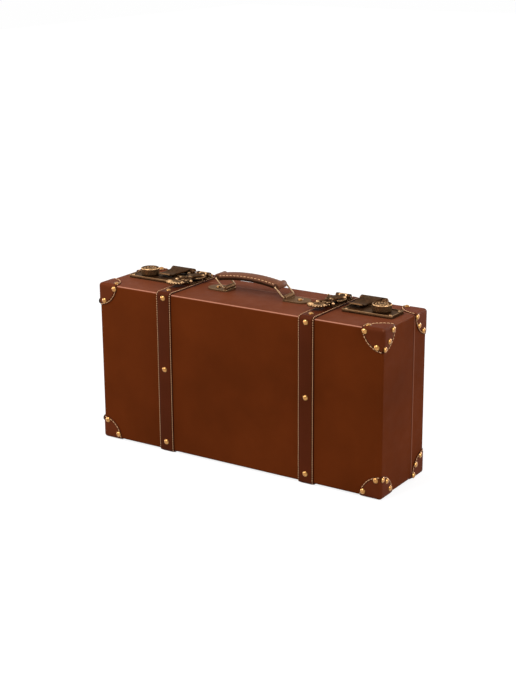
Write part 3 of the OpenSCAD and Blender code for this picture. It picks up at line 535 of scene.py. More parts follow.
def leather(name, deep, light, edge_colour, cell, rough, boxy=False, shine=0.05):
    """Leather with grain, a cloudy tone, an edge colour laid by a mask, and dark grooves where the piece has
    them. The edge colour is edge wear, with a painted highlight on lit edges of the leatherette and painted
    shade under the grip; the grooves are dark dye with painted shade.
    A boxy piece has a painted sheen on its top, and a painted highlight and a painted shade line beside its
    seam."""
    material, tree, shader = new_material(name)
    grain = use(tree, leather_grain, Cell=cell, Crease=0.6)
    cloud = noise(tree, 9.0, 4.0, 0.55)
    base = blend_colour(tree, ramp(tree, cloud, 0.35, 0.65), deep, light)
    speckle = blend_colour(tree, maths(tree, "MULTIPLY", grain["Tone"], 0.25), base, deep)
    if boxy:
        sides = use(tree, box_edges, Softness=0.22)
        # Painted sheen: surfaces that face up are blended a little towards the pale top colour.
        top_sheen_share = maths(tree, "MULTIPLY", sides["Upper"], ramp(tree, cloud, 0.3, 0.7, 0.06, 0.2))
        speckle = blend_colour(tree, top_sheen_share, speckle, PAINTED_TOP_SHEEN)
        # Painted highlight: the rounded edges take the pale edge colour, the more so the more they face up,
        # where light catches them; the broken mask adds edge wear.
        edge = maths(tree, "MULTIPLY", sides["Mask"], ramp(tree, sides["Upper"], 0.0, 1.0, 0.3, 1.0))
    else:
        edge = mask(tree, "edge")
    # The edge colour goes where this mask says: a painted highlight with edge wear on the leatherette, wear on
    # straps and patches, and painted shade with dark dye under the grip.
    edge_mask = use(tree, rubbed, Edge=edge, Scale=160.0, Amount=0.55)["Mask"]
    coloured = blend_colour(tree, edge_mask, speckle, edge_colour)
    if boxy:
        # A painted highlight in the pale edge colour on the lid's side of the seam, and painted shade on the
        # base's side, where the gap between the shells is.
        y = node(tree, "SeparateXYZ", {0: own_place(tree)}).outputs[1]
        painted_seam_highlight = maths(tree, "MULTIPLY", band(tree, y, SEAM_Y, SEAM_Y + SEAM_W), 0.4)
        painted_seam_shade = maths(tree, "MULTIPLY", band(tree, y, SEAM_Y - SEAM_W, SEAM_Y), 0.4)
        coloured = blend_colour(tree, painted_seam_highlight, coloured, edge_colour)
        coloured = blend_colour(tree, painted_seam_shade, coloured, SEAM_SHADE)
    grooved = blend_colour(tree, mask(tree, "groove"), coloured, GROOVE_DYE_AND_SHADE)
    join(
        tree,
        shader,
        colour=grooved,
        rough=ramp(tree, grain["Tone"], 0.0, 1.0, rough, rough + 0.12),
        normal=bump(tree, grain["Height"], 0.35, 0.00025),
    )
    shader.inputs["Specular IOR Level"].default_value = shine
    shader.inputs["Specular Tint"].default_value = srgb(255, 214, 196)
    return material


def bronze(name, clean=0.0):
    """Old cast bronze, rubbed bright where the mask edge says."""
    material, tree, shader = new_material(name)
    rub = use(tree, rubbed, Edge=mask(tree, "edge"), Scale=500.0, Amount=0.6)["Mask"]
    skin = use(tree, patina, Rub=rub, Scale=240.0, Clean=clean)
    cast = noise(tree, 900.0, 3.0)
    join(
        tree,
        shader,
        colour=skin["Colour"],
        rough=skin["Roughness"],
        metal=0.85,
        normal=bump(tree, cast, 0.25, 0.0002),
    )
    shader.inputs["Specular IOR Level"].default_value = 0.1
    shader.inputs["Specular Tint"].default_value = (0.7, 0.62, 0.54, 1)
    return material


def plain_metal(name, colour, rough):
    """Metal with faint clouds in its roughness and colour."""
    material, tree, shader = new_material(name)
    tone = ramp(tree, noise(tree, 400.0, 4.0), 0.35, 0.65)
    darker = [c * 0.72 for c in colour[:3]] + [1.0]
    join(
        tree,
        shader,
        colour=blend_colour(tree, tone, darker, colour),
        rough=ramp(tree, tone, 0.0, 1.0, rough + 0.1, rough),
        metal=1.0,
    )
    return material


def domed_brass():
    """Brass that is clean on the crown of a dome and tarnished down at its lip."""
    material, tree, shader = new_material("rivet_brass")
    tone = ramp(tree, noise(tree, 300.0, 4.0), 0.35, 0.65)
    crown = blend_colour(tree, tone, srgb(162, 112, 60), srgb(198, 148, 92))
    lip = srgb(84, 54, 20)
    join(
        tree,
        shader,
        colour=blend_colour(tree, mask(tree, "edge"), lip, crown),
        rough=ramp(tree, tone, 0.0, 1.0, 0.3, 0.2),
        metal=1.0,
    )
    return material


def sewing_thread():
    """Pale twisted thread."""
    material, tree, shader = new_material("thread")
    twist = noise(tree, 1500.0, 2.0)
    tone = blend_colour(tree, twist, srgb(184, 130, 88), srgb(228, 180, 134))
    join(tree, shader, colour=tone, rough=0.75, normal=bump(tree, twist, 0.4, 0.0002))
    return material


def pine():
    """Planed pine, with its grain along the case."""
    material, tree, shader = new_material("pine_board")
    long_grain = node(tree, "Mapping", {"Vector": own_place(tree), "Scale": (3.0, 60.0, 60.0)})
    rings = ramp(tree, noise(tree, 1.6, 5.0, place=long_grain.outputs[0]), 0.3, 0.7)
    tone = blend_colour(tree, rings, srgb(176, 136, 88), srgb(214, 178, 128))
    join(tree, shader, colour=tone, rough=0.6)
    return material


def cloth():
    """Plain woven cotton."""
    material, tree, shader = new_material("lining_cloth")
    layout = {"Vector": own_place(tree), "Scale": 220.0, "Distortion": 1.5}
    warp = node(tree, "TexWave", layout, bands_direction="X")
    weft = node(tree, "TexWave", layout, bands_direction="Z")
    weave = maths(tree, "MULTIPLY", warp.outputs[1], weft.outputs[1])
    colour = blend_colour(tree, weave, srgb(184, 164, 132), srgb(214, 198, 168))
    join(tree, shader, colour=colour, rough=0.9, normal=bump(tree, weave, 0.3, 0.0003))
    return material


# The leatherette's edge colour is a painted highlight on its upper edges and beside the seam, mixed with edge
# wear.
LEATHERETTE = leather(
    "leatherette",
    deep=srgb(90, 38, 11),
    light=srgb(102, 44, 14),
    edge_colour=srgb(178, 120, 96),
    cell=900.0,
    rough=0.5,
    boxy=True,
    shine=0.02,
)
STRAP = leather(
    "strap_leather",
    deep=srgb(73, 30, 11),
    light=srgb(84, 35, 15),
    edge_colour=srgb(126, 78, 58),
    cell=1100.0,
    rough=0.5,
)
PATCH = leather(
    "patch_leather",
    deep=srgb(88, 38, 16),
    light=srgb(102, 46, 21),
    edge_colour=srgb(146, 92, 68),
    cell=1100.0,
    rough=0.5,
)
# The grip's edge colour is dark: where its edge mask says, it paints shade on the underside, together with the
# dark dye of its edges.
GRIP = leather(
    "handle_leather",
    deep=srgb(94, 56, 37),
    light=srgb(124, 79, 56),
    edge_colour=srgb(42, 24, 12),
    cell=1000.0,
    rough=0.46,
    shine=0.1,
)
THREAD = sewing_thread()
BRONZE = bronze("antique_bronze")
PLATE_BRONZE = bronze("plate_bronze", 0.45)
BRASS = domed_brass()
WIRE = plain_metal("loop_wire", srgb(178, 144, 108), 0.3)
STEEL = plain_metal("pin_steel", srgb(150, 148, 146), 0.35)
PINE = pine()
CLOTH = cloth()


def make_shells():
    """The leatherette of both shells, and the finish of their boards, linings and pins."""
    soften("base_cover", "base_leatherette", LEATHERETTE, 0.4)
    soften("lid_cover", "lid_leatherette", LEATHERETTE, 0.4)
    for name, obj in frame["nodes"].items():
        if name.endswith(("_board", "_panel")):
            dress(obj, PINE)
        if name.endswith("_lining"):
            dress(obj, CLOTH)
        if name.endswith("_pins") or name == "handle_core":
            dress(obj, STEEL)


def dress(obj, finish):
    """Gives a CAD node its material."""
    obj.data.materials.clear()
    obj.data.materials.append(finish)


def wrap_line(sy, top_end, low_end):
    """Points and outward normals round a shell, from the seam on top to the underside, in y and z."""
    side = HALF_D - EDGE_R
    flat_steps = 12
    round_steps = 9
    side_steps = 26
    found = [((y, TOP_Z), 0.0) for y in spread(top_end, sy * side, flat_steps)]
    for t in spread(0, 90, round_steps)[1:]:
        a = math.radians(t)
        found.append(((sy * (side + EDGE_R * math.sin(a)), TOP_Z - EDGE_R + EDGE_R * math.cos(a)), a))
    for z in spread(TOP_Z - EDGE_R, LOW_Z + EDGE_R, side_steps)[1:]:
        found.append(((sy * HALF_D, z), math.pi / 2))
    for t in spread(90, 180, round_steps)[1:]:
        a = math.radians(t)
        found.append(((sy * (side + EDGE_R * math.sin(a)), LOW_Z + EDGE_R + EDGE_R * math.cos(a)), a))
    found += [((y, LOW_Z), math.pi) for y in spread(sy * side, low_end, flat_steps)[1:]]
    return [(Vector((0, *p)), Vector((0, sy * math.sin(a), math.cos(a)))) for p, a in found]


# Half of a strap's section: distance from its middle, height, and the masks edge and groove. The groove mask
# darkens the side walls and the stitch grooves: dark dye with painted shade.
STRAP_SECTION = [
    (13.0, -0.05, 0.0, 1.0),
    (13.0, 1.2, 0.0, 1.0),
    (12.9, 1.7, 0.0, 0.8),
    (12.6, 2.05, 0.2, 0.4),
    (12.2, 2.05, 0.0, 0.8),
    (11.6, 2.0, 0.0, 1.0),
    (10.9, 2.2, 0.0, 0.9),
    (10.2, 2.45, 0.0, 0.35),
    (9.2, 2.62, 0.0, 0.0),
    (6.0, 2.7, 0.0, 0.0),
]

# Stitches of a strap: distance from its middle, height of the thread, and along it
STRAP_SEWN = 11.9
STRAP_SEWN_H = 1.9
STRAP_STITCH_PITCH = 3.6
STRAP_STITCH_L = 2.1


def make_strap(shell, side_name, sx, sy):
    """One strap on one shell, with its stitches."""
    seam = BASE_END if sy < 0 else LID_END
    line = wrap_line(sy, seam, SEAM_Y + sy * STRAP_STOP)
    middle = Vector((sx * STRAP_X, 0, 0))
    section = [(-x, h, e, g) for x, h, e, g in STRAP_SECTION] + STRAP_SECTION[::-1]
    rows = [[middle + Vector((x, 0, 0)) + p + n * h for x, h, _, _ in section] for p, n in line]
    edge_mask = [e for _, _, e, _ in section] * len(rows)
    grooves = [g for _, _, _, g in section] * len(rows)
    leather_band = Shape()
    leather_band.skin(rows, loop=True, caps=True, edge=edge_mask, groove=grooves)
    obj = show(leather_band, f"{shell}_strap_band_{side_name}", shell, STRAP, 50)
    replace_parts(obj, f"{shell}_strap_{side_name}")
    sewn = Shape()
    for x in (-STRAP_SEWN, STRAP_SEWN):
        lifted = [(middle + Vector((x, 0, 0)) + p + n * STRAP_SEWN_H, n) for p, n in line]
        for a, b, n in walk(lifted, STRAP_STITCH_PITCH, STRAP_STITCH_L):
            sewn.stitch(a, b, n, THREAD_R)
    show(sewn, f"{shell}_strap_stitches_{side_name}", shell, THREAD)


# Rings of a base patch: distance from the case's corner, height, and the masks edge and groove. The groove mask
# darkens the stitch groove and the outer wall: dark dye with painted shade.
PATCH_RINGS = [
    (0.0, 1.5, 0.35, 0.0),
    (2.0, 1.5, 0.35, 0.0),
    (4.0, 1.5, 0.25, 0.0),
    (6.0, 1.5, 0.0, 0.0),
    (9.0, 1.5, 0.0, 0.0),
    (14.0, 1.5, 0.0, 0.0),
    (20.0, 1.5, 0.0, 0.0),
    (26.0, 1.5, 0.0, 0.0),
    (31.0, 1.5, 0.0, 0.0),
    (32.6, 1.4, 0.0, 0.3),
    (33.4, 1.15, 0.0, 0.9),
    (34.1, 0.95, 0.0, 1.0),
    (34.8, 1.1, 0.0, 0.6),
    (35.3, 1.1, 0.2, 0.3),
    (35.8, 0.8, 0.1, 0.7),
    (36.0, 0.4, 0.0, 1.0),
    (36.0, -0.05, 0.0, 1.0),
]

# Stitches of a patch: distance from the case's corner, height of the thread, and along it
PATCH_SEWN = 34.5
PATCH_SEWN_H = 1.2
PATCH_STITCH_PITCH = 5.2
PATCH_STITCH_L = 4.1
PATCH_STITCH_INSET = 2.2


def patch_point(signs, ring, turn, height):
    """A point of a corner patch and its normal. Turn goes from 0 to 3 round the corner, one for each face."""
    face = min(2, int(turn))
    a = math.radians(90 * (turn - face))
    c = ring * math.cos(a)
    s = ring * math.sin(a)
    inward = [(c, s, 0), (0, c, s), (s, 0, c)][face]
    square_to_face = [2, 0, 1][face]
    point = []
    away = []
    for i, half in enumerate((HALF_L, HALF_D, HALF_H)):
        reach = half + height
        if i != square_to_face:
            reach = min(half + PATCH_T - inward[i], reach)
        core = min(reach, half - EDGE_R)
        point.append(core)
        away.append(reach - core)
    away = Vector(away).normalized() * (EDGE_R + height)
    spot = Vector(point) + away
    spot = Vector((signs[0] * spot.x, signs[1] * spot.y, MID_Z + signs[2] * spot.z))
    if signs[1] > 0:
        spot.y = max(spot.y, LID_END)
    return spot, Vector((signs[0] * away.x, signs[1] * away.y, signs[2] * away.z)).normalized()


def make_patch(shell, name, signs):
    """One corner patch of a shell, with its stitches. Signs say which corner, and the lid's are larger."""
    grow = LID_PATCH_R - PATCH_R if signs[1] > 0 else 0.0
    turns = [face + t for face in range(3) for t in spread(0, 1, 17)[:-1]]
    rings = []
    for r, h, _, _ in PATCH_RINGS:
        rings.append((r + grow * ease((r - PATCH_GROWS_FROM) / PATCH_GROWS_FROM), h))
    rows = [[patch_point(signs, r, t, h)[0] for t in turns] for r, h in rings]
    piece = Shape()
    piece.skin(rows, loop=True, edge=[r[2] for r in PATCH_RINGS], groove=[r[3] for r in PATCH_RINGS])
    obj = show(piece, f"{shell}_corner_{name}", shell, PATCH, 50)
    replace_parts(obj, f"{shell}_patch_{name}")
    sewn = Shape()
    for face in range(3):
        turns = [face + t for t in spread(0.0, 0.9999, 24)]
        line = [patch_point(signs, PATCH_SEWN + grow, t, PATCH_SEWN_H) for t in turns]
        for a, b, n in walk(line, PATCH_STITCH_PITCH, PATCH_STITCH_L, PATCH_STITCH_INSET):
            sewn.stitch(a, b, n, THREAD_R)
    show(sewn, f"{shell}_corner_stitches_{name}", shell, THREAD)


def dome(shape, place, r, h):
    """A domed rivet head with a small rolled lip."""
    ball_r = (r * r + h * h) / (2 * h)
    reach = math.asin(r / ball_r)
    turns = spread(0, reach * RIVET_CAP_SHARE, 9)
    cap = [(ball_r * math.sin(t), h - ball_r + ball_r * math.cos(t)) for t in turns]
    profile = cap + [(r, RIVET_LIP_H), (r, -HEAD_SINK), (0, -HEAD_SINK)]
    clean = [1.0] * 5 + [0.95, 0.8, 0.5, 0.15, 0.0, 0.0, 0.0]
    shape.lathe(profile, place, 28, edge=clean)


def screw(shape, place, r, h):
    """A low screw head with a small pit."""
    pit_r = r * 0.2
    pit_z = h - 0.45
    cap = [(0, pit_z), (pit_r, pit_z), (pit_r, h), (r * 0.6, h), (r * 0.88, h * 0.75), (r, h * 0.2)]
    foot = [(r, -HEAD_SINK), (0, -HEAD_SINK)]
    shape.lathe(cap + foot, place, 20, edge=[0.0, 0.0, 0.6, 1.0, 1.0, 0.2, 0.0, 0.0])


# Rivets of a patch, from its outer corner, sideways and then up or down
UPPER_FACE_RIVETS = [(31, 7), (11, 28)]
LOWER_FACE_RIVETS = [(30, 9), (9.3, 29.5)]
UPPER_BASE_END_RIVETS = [(27.9, 6.6), (17.4, 21.4), (5, 30.3)]
LOWER_BASE_END_RIVETS = [(27.2, 11), (17.6, 25.2), (5, 31)]
LID_END_RIVETS = [(33, 5.7), (26.5, 20.5), (12.6, 31)]
TOP_RIVET = (29.8, 9)

# Heights of a strap's rivets, and how far its top rivet is from the strap's face
STRAP_RIVETS_Z = (TOP_Z - 6.5, MID_Z + 6, LOW_Z + 14)
BASE_TOP_RIVET_IN = 15.5
LID_TOP_RIVET_IN = 10


def rivet_places(sy):
    """Places of a shell's rivets, their z axes pointing outwards."""
    found = []
    x1 = HALF_L + PATCH_T
    y1 = HALF_D + PATCH_T
    z1 = HALF_H + PATCH_T
    strap_y = HALF_D + STRAP_T
    top_y = strap_y - (BASE_TOP_RIVET_IN if sy < 0 else LID_TOP_RIVET_IN)
    for sx in (-1, 1):
        for sz in (-1, 1):
            for a, b in UPPER_FACE_RIVETS if sz > 0 else LOWER_FACE_RIVETS:
                found.append(facing((sx * (x1 - a), sy * y1, MID_Z + sz * (z1 - b)), (0, sy, 0)))
            ends = LID_END_RIVETS
            if sy < 0:
                ends = UPPER_BASE_END_RIVETS if sz > 0 else LOWER_BASE_END_RIVETS
            for a, b in ends:
                found.append(facing((sx * x1, sy * (y1 - a), MID_Z + sz * (z1 - b)), (sx, 0, 0)))
        a, b = TOP_RIVET
        found.append(facing((sx * (x1 - a), sy * (y1 - b), MID_Z + z1), (0, 0, 1)))
        for z in STRAP_RIVETS_Z:
            found.append(facing((sx * STRAP_X, sy * strap_y, z), (0, sy, 0)))
        found.append(facing((sx * STRAP_X, sy * top_y, STRAP_TOP), (0, 0, 1)))
    return found


# Screws of a buckle: in front of its knot, in from the seam, and behind the pin of its hinge
CATCH_SCREW_FRONT = 7
CATCH_SCREW_BACK = 7
BUCKLE_HINGE_SCREW = 6.5


def show_heads(heads, name, body, finish, stands_for):
    """Makes rivet or screw heads a piece that replaces a CAD node."""
    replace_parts(show(heads, name, body, finish), stands_for)


def make_rivets():
    """Rivet heads of both shells and of the handle's plates."""
    for shell, sy in (("base", -1), ("lid", 1)):
        heads = Shape()
        for place in rivet_places(sy):
            dome(heads, place, RIVET_R, RIVET_H)
        show_heads(heads, f"{shell}_rivet_heads", shell, BRASS, f"{shell}_rivets")
    heads = Shape()
    for sx in (-1, 1):
        spot = (sx * (EYE_X + HANDLE_RIVET_OUT), GRIP_Y, TOP_Z + HANDLE_PLATE_T)
        dome(heads, facing(spot, (0, 0, 1)), RIVET_R, RIVET_H)
    show_heads(heads, "handle_rivet_heads", "base", BRASS, "handle_plate_rivets")


def make_screws():
    """Screw heads of the locks and of the buckles."""
    base_spots = []
    lid_spots = []
    buckle_z = STRAP_TOP + BUCKLE_T
    for sx in (-1, 1):
        for x in (LOCK_X0 + LOCK_SCREW_IN, LOCK_X1 - LOCK_SCREW_IN):
            for y in (LOCK_Y0 + LOCK_SCREW_IN, LOCK_Y1 - LOCK_SCREW_IN):
                base_spots.append((sx * x, y, LOCK_TOP))
        for y in (KNOT_Y - CATCH_SCREW_FRONT, BASE_END - CATCH_SCREW_BACK):
            base_spots.append((sx * STRAP_X, y, buckle_z))
        for x in (-HINGE_SCREW_X, HINGE_SCREW_X):
            lid_spots.append((sx * HASP_X + x, HINGE_SCREW_Y, TOP_Z + HINGE_PLATE_T))
        lid_spots.append((sx * STRAP_X, BUCKLE_Y + BUCKLE_HINGE_SCREW, buckle_z))
    for shell, spots in (("base", base_spots), ("lid", lid_spots)):
        heads = Shape()
        for spot in spots:
            screw(heads, Matrix.Translation(spot), SCREW_R, SCREW_H)
        node_name = f"{shell}_hardware_screws"
        show_heads(heads, f"{shell}_screw_heads", shell, BRONZE, node_name)


# The knob from its foot up and in: radius, height, and the mask edge
KNOB_PROFILE = [
    (0, 0, 0),
    (12.9, 0, 0),
    (13.4, 0.3, 0),
    (13.5, 1.0, 0),
    (14.0, 1.5, 0.3),
    (14.3, 2.2, 0.32),
    (14.3, 9.6, 0.32),
    (14.5, 10.0, 0.45),
    (14.5, 10.6, 0.7),
    (14.1, 11.2, 0.6),
    (13.3, 11.5, 0.4),
    (12.6, 11.3, 0.2),
    (12.2, 10.7, 0),
    (11.9, 9.9, 0),
    (6.3, 9.8, 0),
    (6.0, 10.3, 0.1),
    (5.4, 11.0, 0.5),
    (4.4, 11.4, 0.5),
    (2.4, 11.2, 0.1),
    (1.4, 11.5, 0.2),
    (0, 11.5, 0.3),
]
SPINDLE_PROFILE = [(0, -3.5), (3, -3.5), (3, 0.5), (0, 0.5)]


def make_knob(side_name, sx):
    """Round knob with a raised rim, a ring of beads, a boss and a spindle."""
    place = Matrix.Translation((sx * KNOB.x, KNOB.y, KNOB.z))
    knob = Shape()
    knob.lathe([(r, z) for r, z, _ in KNOB_PROFILE], place, 96, edge=[e for _, _, e in KNOB_PROFILE])
    for i in range(BEADS):
        t = 2 * math.pi * (i + BEAD_TURN) / BEADS
        bead = Vector((BEAD_RING_R * math.cos(t), BEAD_RING_R * math.sin(t), BEAD_Z))
        knob.ball(place @ bead, BEAD_R, 12, edge=0.4)
    knob.lathe(SPINDLE_PROFILE, place, 24)
    body = f"lock_knob_{side_name}"
    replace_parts(show(knob, f"{body}_crown", body, BRONZE), body)


def rim_wear(p):
    """The lock plate is bright along the top of its rim, most of all in front."""
    if p.z < LOCK_TOP + LOCK_RIM_H:
        return 0.0
    return 0.6 if p.y < LOCK_Y0 + LOCK_RIM_W else 0.3


def hasp_wear(p):
    """The hasp is bright at the front of its thumb tab."""
    return 0.8 * ease((HASP_FRONT + TAB_WORN_L - p.y) / TAB_WORN_L)


def make_locks():
    """Both locks: their knobs, and their plates, hinge plates and hasps with rounded edges."""
    for side_name, sx in (("left", -1), ("right", 1)):
        make_knob(side_name, sx)
        for part, width, edge_mask in (("plate", 0.35, rim_wear), ("hinge", 0.5, None), ("hasp", 0.45, hasp_wear)):
            name = f"lock_{part}_{side_name}"
            soften(name, f"{name}_cast", BRONZE, width, edge_mask=edge_mask)


def buckle_top(y):
    """Height of the buckle's hasp along the strap."""
    rise = (BUCKLE_Z + BARREL_R - LEAF_Z) * ease((y - KNOT_Y) / (BUCKLE_Y - KNOT_Y))
    knot = KNOT_H * math.exp(-(((y - KNOT_Y) / KNOT_SPREAD) ** 2))
    lift = LEAF_LIFT * ease((LEAF_NECK_Y - y) / LEAF_LIFT_L)
    return LEAF_Z + rise + knot + lift


def buckle_mid(y):
    """The hasp's front bends a little to the left."""
    return -LEAF_SHIFT * ease((KNOT_Y - y) / PETAL_L)


def leaf_hw(y):
    """Half width of the leaf tab, of the petals and of the lobes, and 0 past their ends."""
    return LEAF_R * math.sqrt(max(0.0, 1 - ((y - LEAF_Y) / LEAF_R) ** 2))


def petal_hw(y):
    if not KNOT_Y - PETAL_L < y < KNOT_Y:
        return 0.0
    return PETAL_HW * math.sin(math.pi * (KNOT_Y - y) / PETAL_L)


def lobe_hw(y):
    if not KNOT_Y < y < KNOT_Y + LOBE_L:
        return 0.0
    return LOBE_HW * math.sin(math.pi * (y - KNOT_Y) / LOBE_L) ** 0.6


def pebble(shape, x, y, a, b, turn, z, h):
    """A smooth dome on an oval, turned by so many degrees."""
    spin = Matrix.Rotation(math.radians(turn), 4, "Z")
    place = Matrix.Translation((x, y, z)) @ spin @ Matrix.Diagonal((a, b, h, 1))
    profile = [(0, -0.4), (1, -0.4)] + [(math.cos(t), math.sin(t)) for t in spread(0, math.pi / 2, 7)]
    shape.lathe(profile, place, 28, edge=[0.0, 0.1, 0.4, 0.5, 0.35, 0.2, 0.1, 0.1, 0.2])


def oval_ring(shape, centre, a, b, turn, r, rise=None, glint=0.34):
    """A round rim along an oval. Rise gives its height above the centre, and glint how much it is rubbed."""
    spin = Matrix.Rotation(math.radians(turn), 4, "Z")
    count = 40
    path = []
    for i in range(count):
        t = 2 * math.pi * i / count
        p = spin @ Vector((a * math.cos(t), b * math.sin(t), 0))
        path.append(Vector(centre) + p + Vector((0, 0, rise(p) if rise else 0)))
    shape.tube(path, r, (0, 0, 1), closed=True, steps=10, edge=[glint] * count)


# The leaf tab's rim, and the ring round its hollow middle: half sizes, tube and depth
LEAF_RIM_TUBE_R = 1.5
LEAF_RIM_SUNK = 1.1
HOLLOW_Y = LEAF_Y + 2.5
HOLLOW_HX = 8.2
HOLLOW_HY = 7.4
HOLLOW_TUBE_R = 0.9
HOLLOW_SUNK = 0.9

# Ridges of the leaf tab, fanned out in front from its hollow to its rim, each with a small ball at its end
RIDGES = 11
RIDGE_FIRST = 188
RIDGE_LAST = 352
RIDGE_FOOT_Y = LEAF_Y + 2.0
RIDGE_FOOT_HX = 7.6
RIDGE_FOOT_HY = 7.0
RIDGE_FOOT_SUNK = 0.6
RIDGE_END = 14.6
RIDGE_END_SUNK = 0.5
RIDGE_CREST = 0.55
RIDGE_CREST_LIFT = 0.3
RIDGE_RADII = [0.6, 1.0, 1.2]
RIDGE_RUB = [0.4, 0.75, 0.75]
RIDGE_BALL_R = 1.3


def make_leaf(hasp, x0):
    """Round leaf tab: a smooth rim, a hollow middle and radial ridges across its front."""
    level = buckle_top(LEAF_Y)
    rim = (x0, LEAF_Y, level - LEAF_RIM_SUNK)
    oval_ring(hasp, rim, LEAF_RIM_R, LEAF_RIM_R, 0, LEAF_RIM_TUBE_R, leaf_rise, 0.15)
    hollow = (x0, HOLLOW_Y, level - HOLLOW_SUNK)
    oval_ring(hasp, hollow, HOLLOW_HX, HOLLOW_HY, 0, HOLLOW_TUBE_R, leaf_rise)
    for angle in spread(RIDGE_FIRST, RIDGE_LAST, RIDGES):
        t = math.radians(angle)
        foot = Vector((x0 + RIDGE_FOOT_HX * math.cos(t), RIDGE_FOOT_Y + RIDGE_FOOT_HY * math.sin(t), 0))
        tip = Vector((x0 + RIDGE_END * math.cos(t), LEAF_Y + RIDGE_END * math.sin(t), 0))
        foot.z = buckle_top(foot.y) - RIDGE_FOOT_SUNK
        tip.z = buckle_top(tip.y) - RIDGE_END_SUNK
        crest = foot.lerp(tip, RIDGE_CREST) + Vector((0, 0, RIDGE_CREST_LIFT))
        hasp.tube([foot, crest, tip], RIDGE_RADII, (0, 0, 1), steps=8, edge=RIDGE_RUB)
        hasp.ball(tip, RIDGE_BALL_R, 10, edge=0.65)


def leaf_rise(p):
    """Height of the leaf tab at a point, above its middle."""
    return buckle_top(LEAF_Y + p.y) - buckle_top(LEAF_Y)


# The knot's crossed rods and round collar. Radii and rubbing go from a rod's end to its middle.
KNOT_SUNK = 0.6
COLLAR_R = 2.7
ROD_L = 42.0
ROD_TURNS = (50, 130)
ROD_SLOPE = math.tan(math.radians(4))
ROD_END_R = 2.2
ROD_RADII = [ROD_END_R, 1.9, 1.7, 1.6, 1.6, 1.7, 1.8, 2.0, 2.2]
ROD_RUB = [0.7, 0.3, 0.15, 0.15, 0.15, 0.15, 0.15, 0.3, 0.5]


def make_knot(hasp, x0):
    """Two rods that cross on the knot, with round ends and a collar in the middle."""
    middle = Vector((x0, KNOT_Y, buckle_top(KNOT_Y) - KNOT_SUNK))
    radii = ROD_RADII + ROD_RADII[-2::-1]
    rub = ROD_RUB + ROD_RUB[-2::-1]
    for turn in ROD_TURNS:
        a = math.radians(turn)
        way = Vector((math.cos(a), math.sin(a), ROD_SLOPE * math.sin(a)))
        path = [middle + way * t for t in spread(-ROD_L / 2, ROD_L / 2, len(radii))]
        hasp.tube(path, radii, (0, 0, 1), steps=12, edge=rub)
        for rod_end in (path[0], path[-1]):
            hasp.ball(rod_end, ROD_END_R, 14, edge=0.8)
    hasp.ball(middle, COLLAR_R, 16, edge=0.5)


# The hasp's sheet, under its ornament: depth of its underside and of its top, and the fall of its sides
SHEET_UNDER = 2.2
SHEET_SUNK = 0.5
SHEET_LEAF_SUNK = 0.9
SHEET_LEAF_BACK = LEAF_Y + 12.0
SHEET_FALL = 0.6

# A petal: distance from the hasp's middle, half sizes, turn, depth of its foot and height
PETAL_OUT = 4.6
PETAL_HX = 3.9
PETAL_HY = 6.4
PETAL_TURN = 16
PETAL_SUNK = 1.2
PETAL_H = 1.5

# A lobe and the ring round it, in the same way
LOBE_TURN = 10
LOBE_OUT = 7.2
LOBE_HX = 4.8
LOBE_HY = 10.4
LOBE_SUNK = 1.6
LOBE_H = 1.2
LOBE_RING_OUT = 7.4
LOBE_RING_HX = 6.3
LOBE_RING_HY = 12.4
LOBE_RING_SUNK = 1.3
LOBE_RING_TUBE_R = 1.25


def make_sheet(hasp, x0):
    """The hasp's sheet, as wide as its leaf tab, petals and lobes."""
    across = [math.sin(math.pi / 2 * u) for u in spread(-1, 1, 15)]
    rows = []
    for y in spread(LEAF_TIP_Y, BUCKLE_Y, 84):
        neck = TIP_HW if y < LEAF_Y else NECK_HW
        hw = max(leaf_hw(y), petal_hw(y), lobe_hw(y), neck)
        top = buckle_top(y)
        sunk = SHEET_LEAF_SUNK if y < SHEET_LEAF_BACK else SHEET_SUNK
        x = x0 + buckle_mid(y)
        upper = [Vector((x + u * hw, y, top - sunk - SHEET_FALL * abs(u) ** 3)) for u in across]
        lower = [Vector((x + u * hw, y, top - SHEET_UNDER)) for u in reversed(across[1:-1])]
        rows.append(upper + lower)
    hasp.skin(rows, loop=True, caps=True)


def make_petals(hasp, x0):
    """Two petals in front of the knot."""
    y = KNOT_Y - PETAL_L / 2
    x = x0 + buckle_mid(y)
    z = buckle_top(y) - PETAL_SUNK
    for s in (-1, 1):
        pebble(hasp, x + s * PETAL_OUT, y, PETAL_HX, PETAL_HY, -s * PETAL_TURN, z, PETAL_H)


def make_lobes(hasp, x0):
    """Two lobes behind the knot, each with a ring round it."""
    y = KNOT_Y + LOBE_MID
    z = buckle_top(y)
    for s in (-1, 1):
        turn = s * LOBE_TURN
        ring = (x0 + s * LOBE_RING_OUT, y, z - LOBE_RING_SUNK)
        oval_ring(hasp, ring, LOBE_RING_HX, LOBE_RING_HY, turn, LOBE_RING_TUBE_R)
        pebble(hasp, x0 + s * LOBE_OUT, y, LOBE_HX, LOBE_HY, turn, z - LOBE_SUNK, LOBE_H)


def make_barrel(hasp, x0):
    """The hasp's barrel, on the pin."""
    place = facing((x0 - BARREL_L / 2, BUCKLE_Y, BUCKLE_Z), (1, 0, 0))
    near = [(BARREL_BORE_R, 0), (BARREL_R - BARREL_EDGE, 0), (BARREL_R, BARREL_EDGE)]
    far = [(r, BARREL_L - z) for r, z in reversed(near)]
    hasp.lathe(near + far, place, 28, edge=[0, 0.6, 1, 1, 0.6, 0])


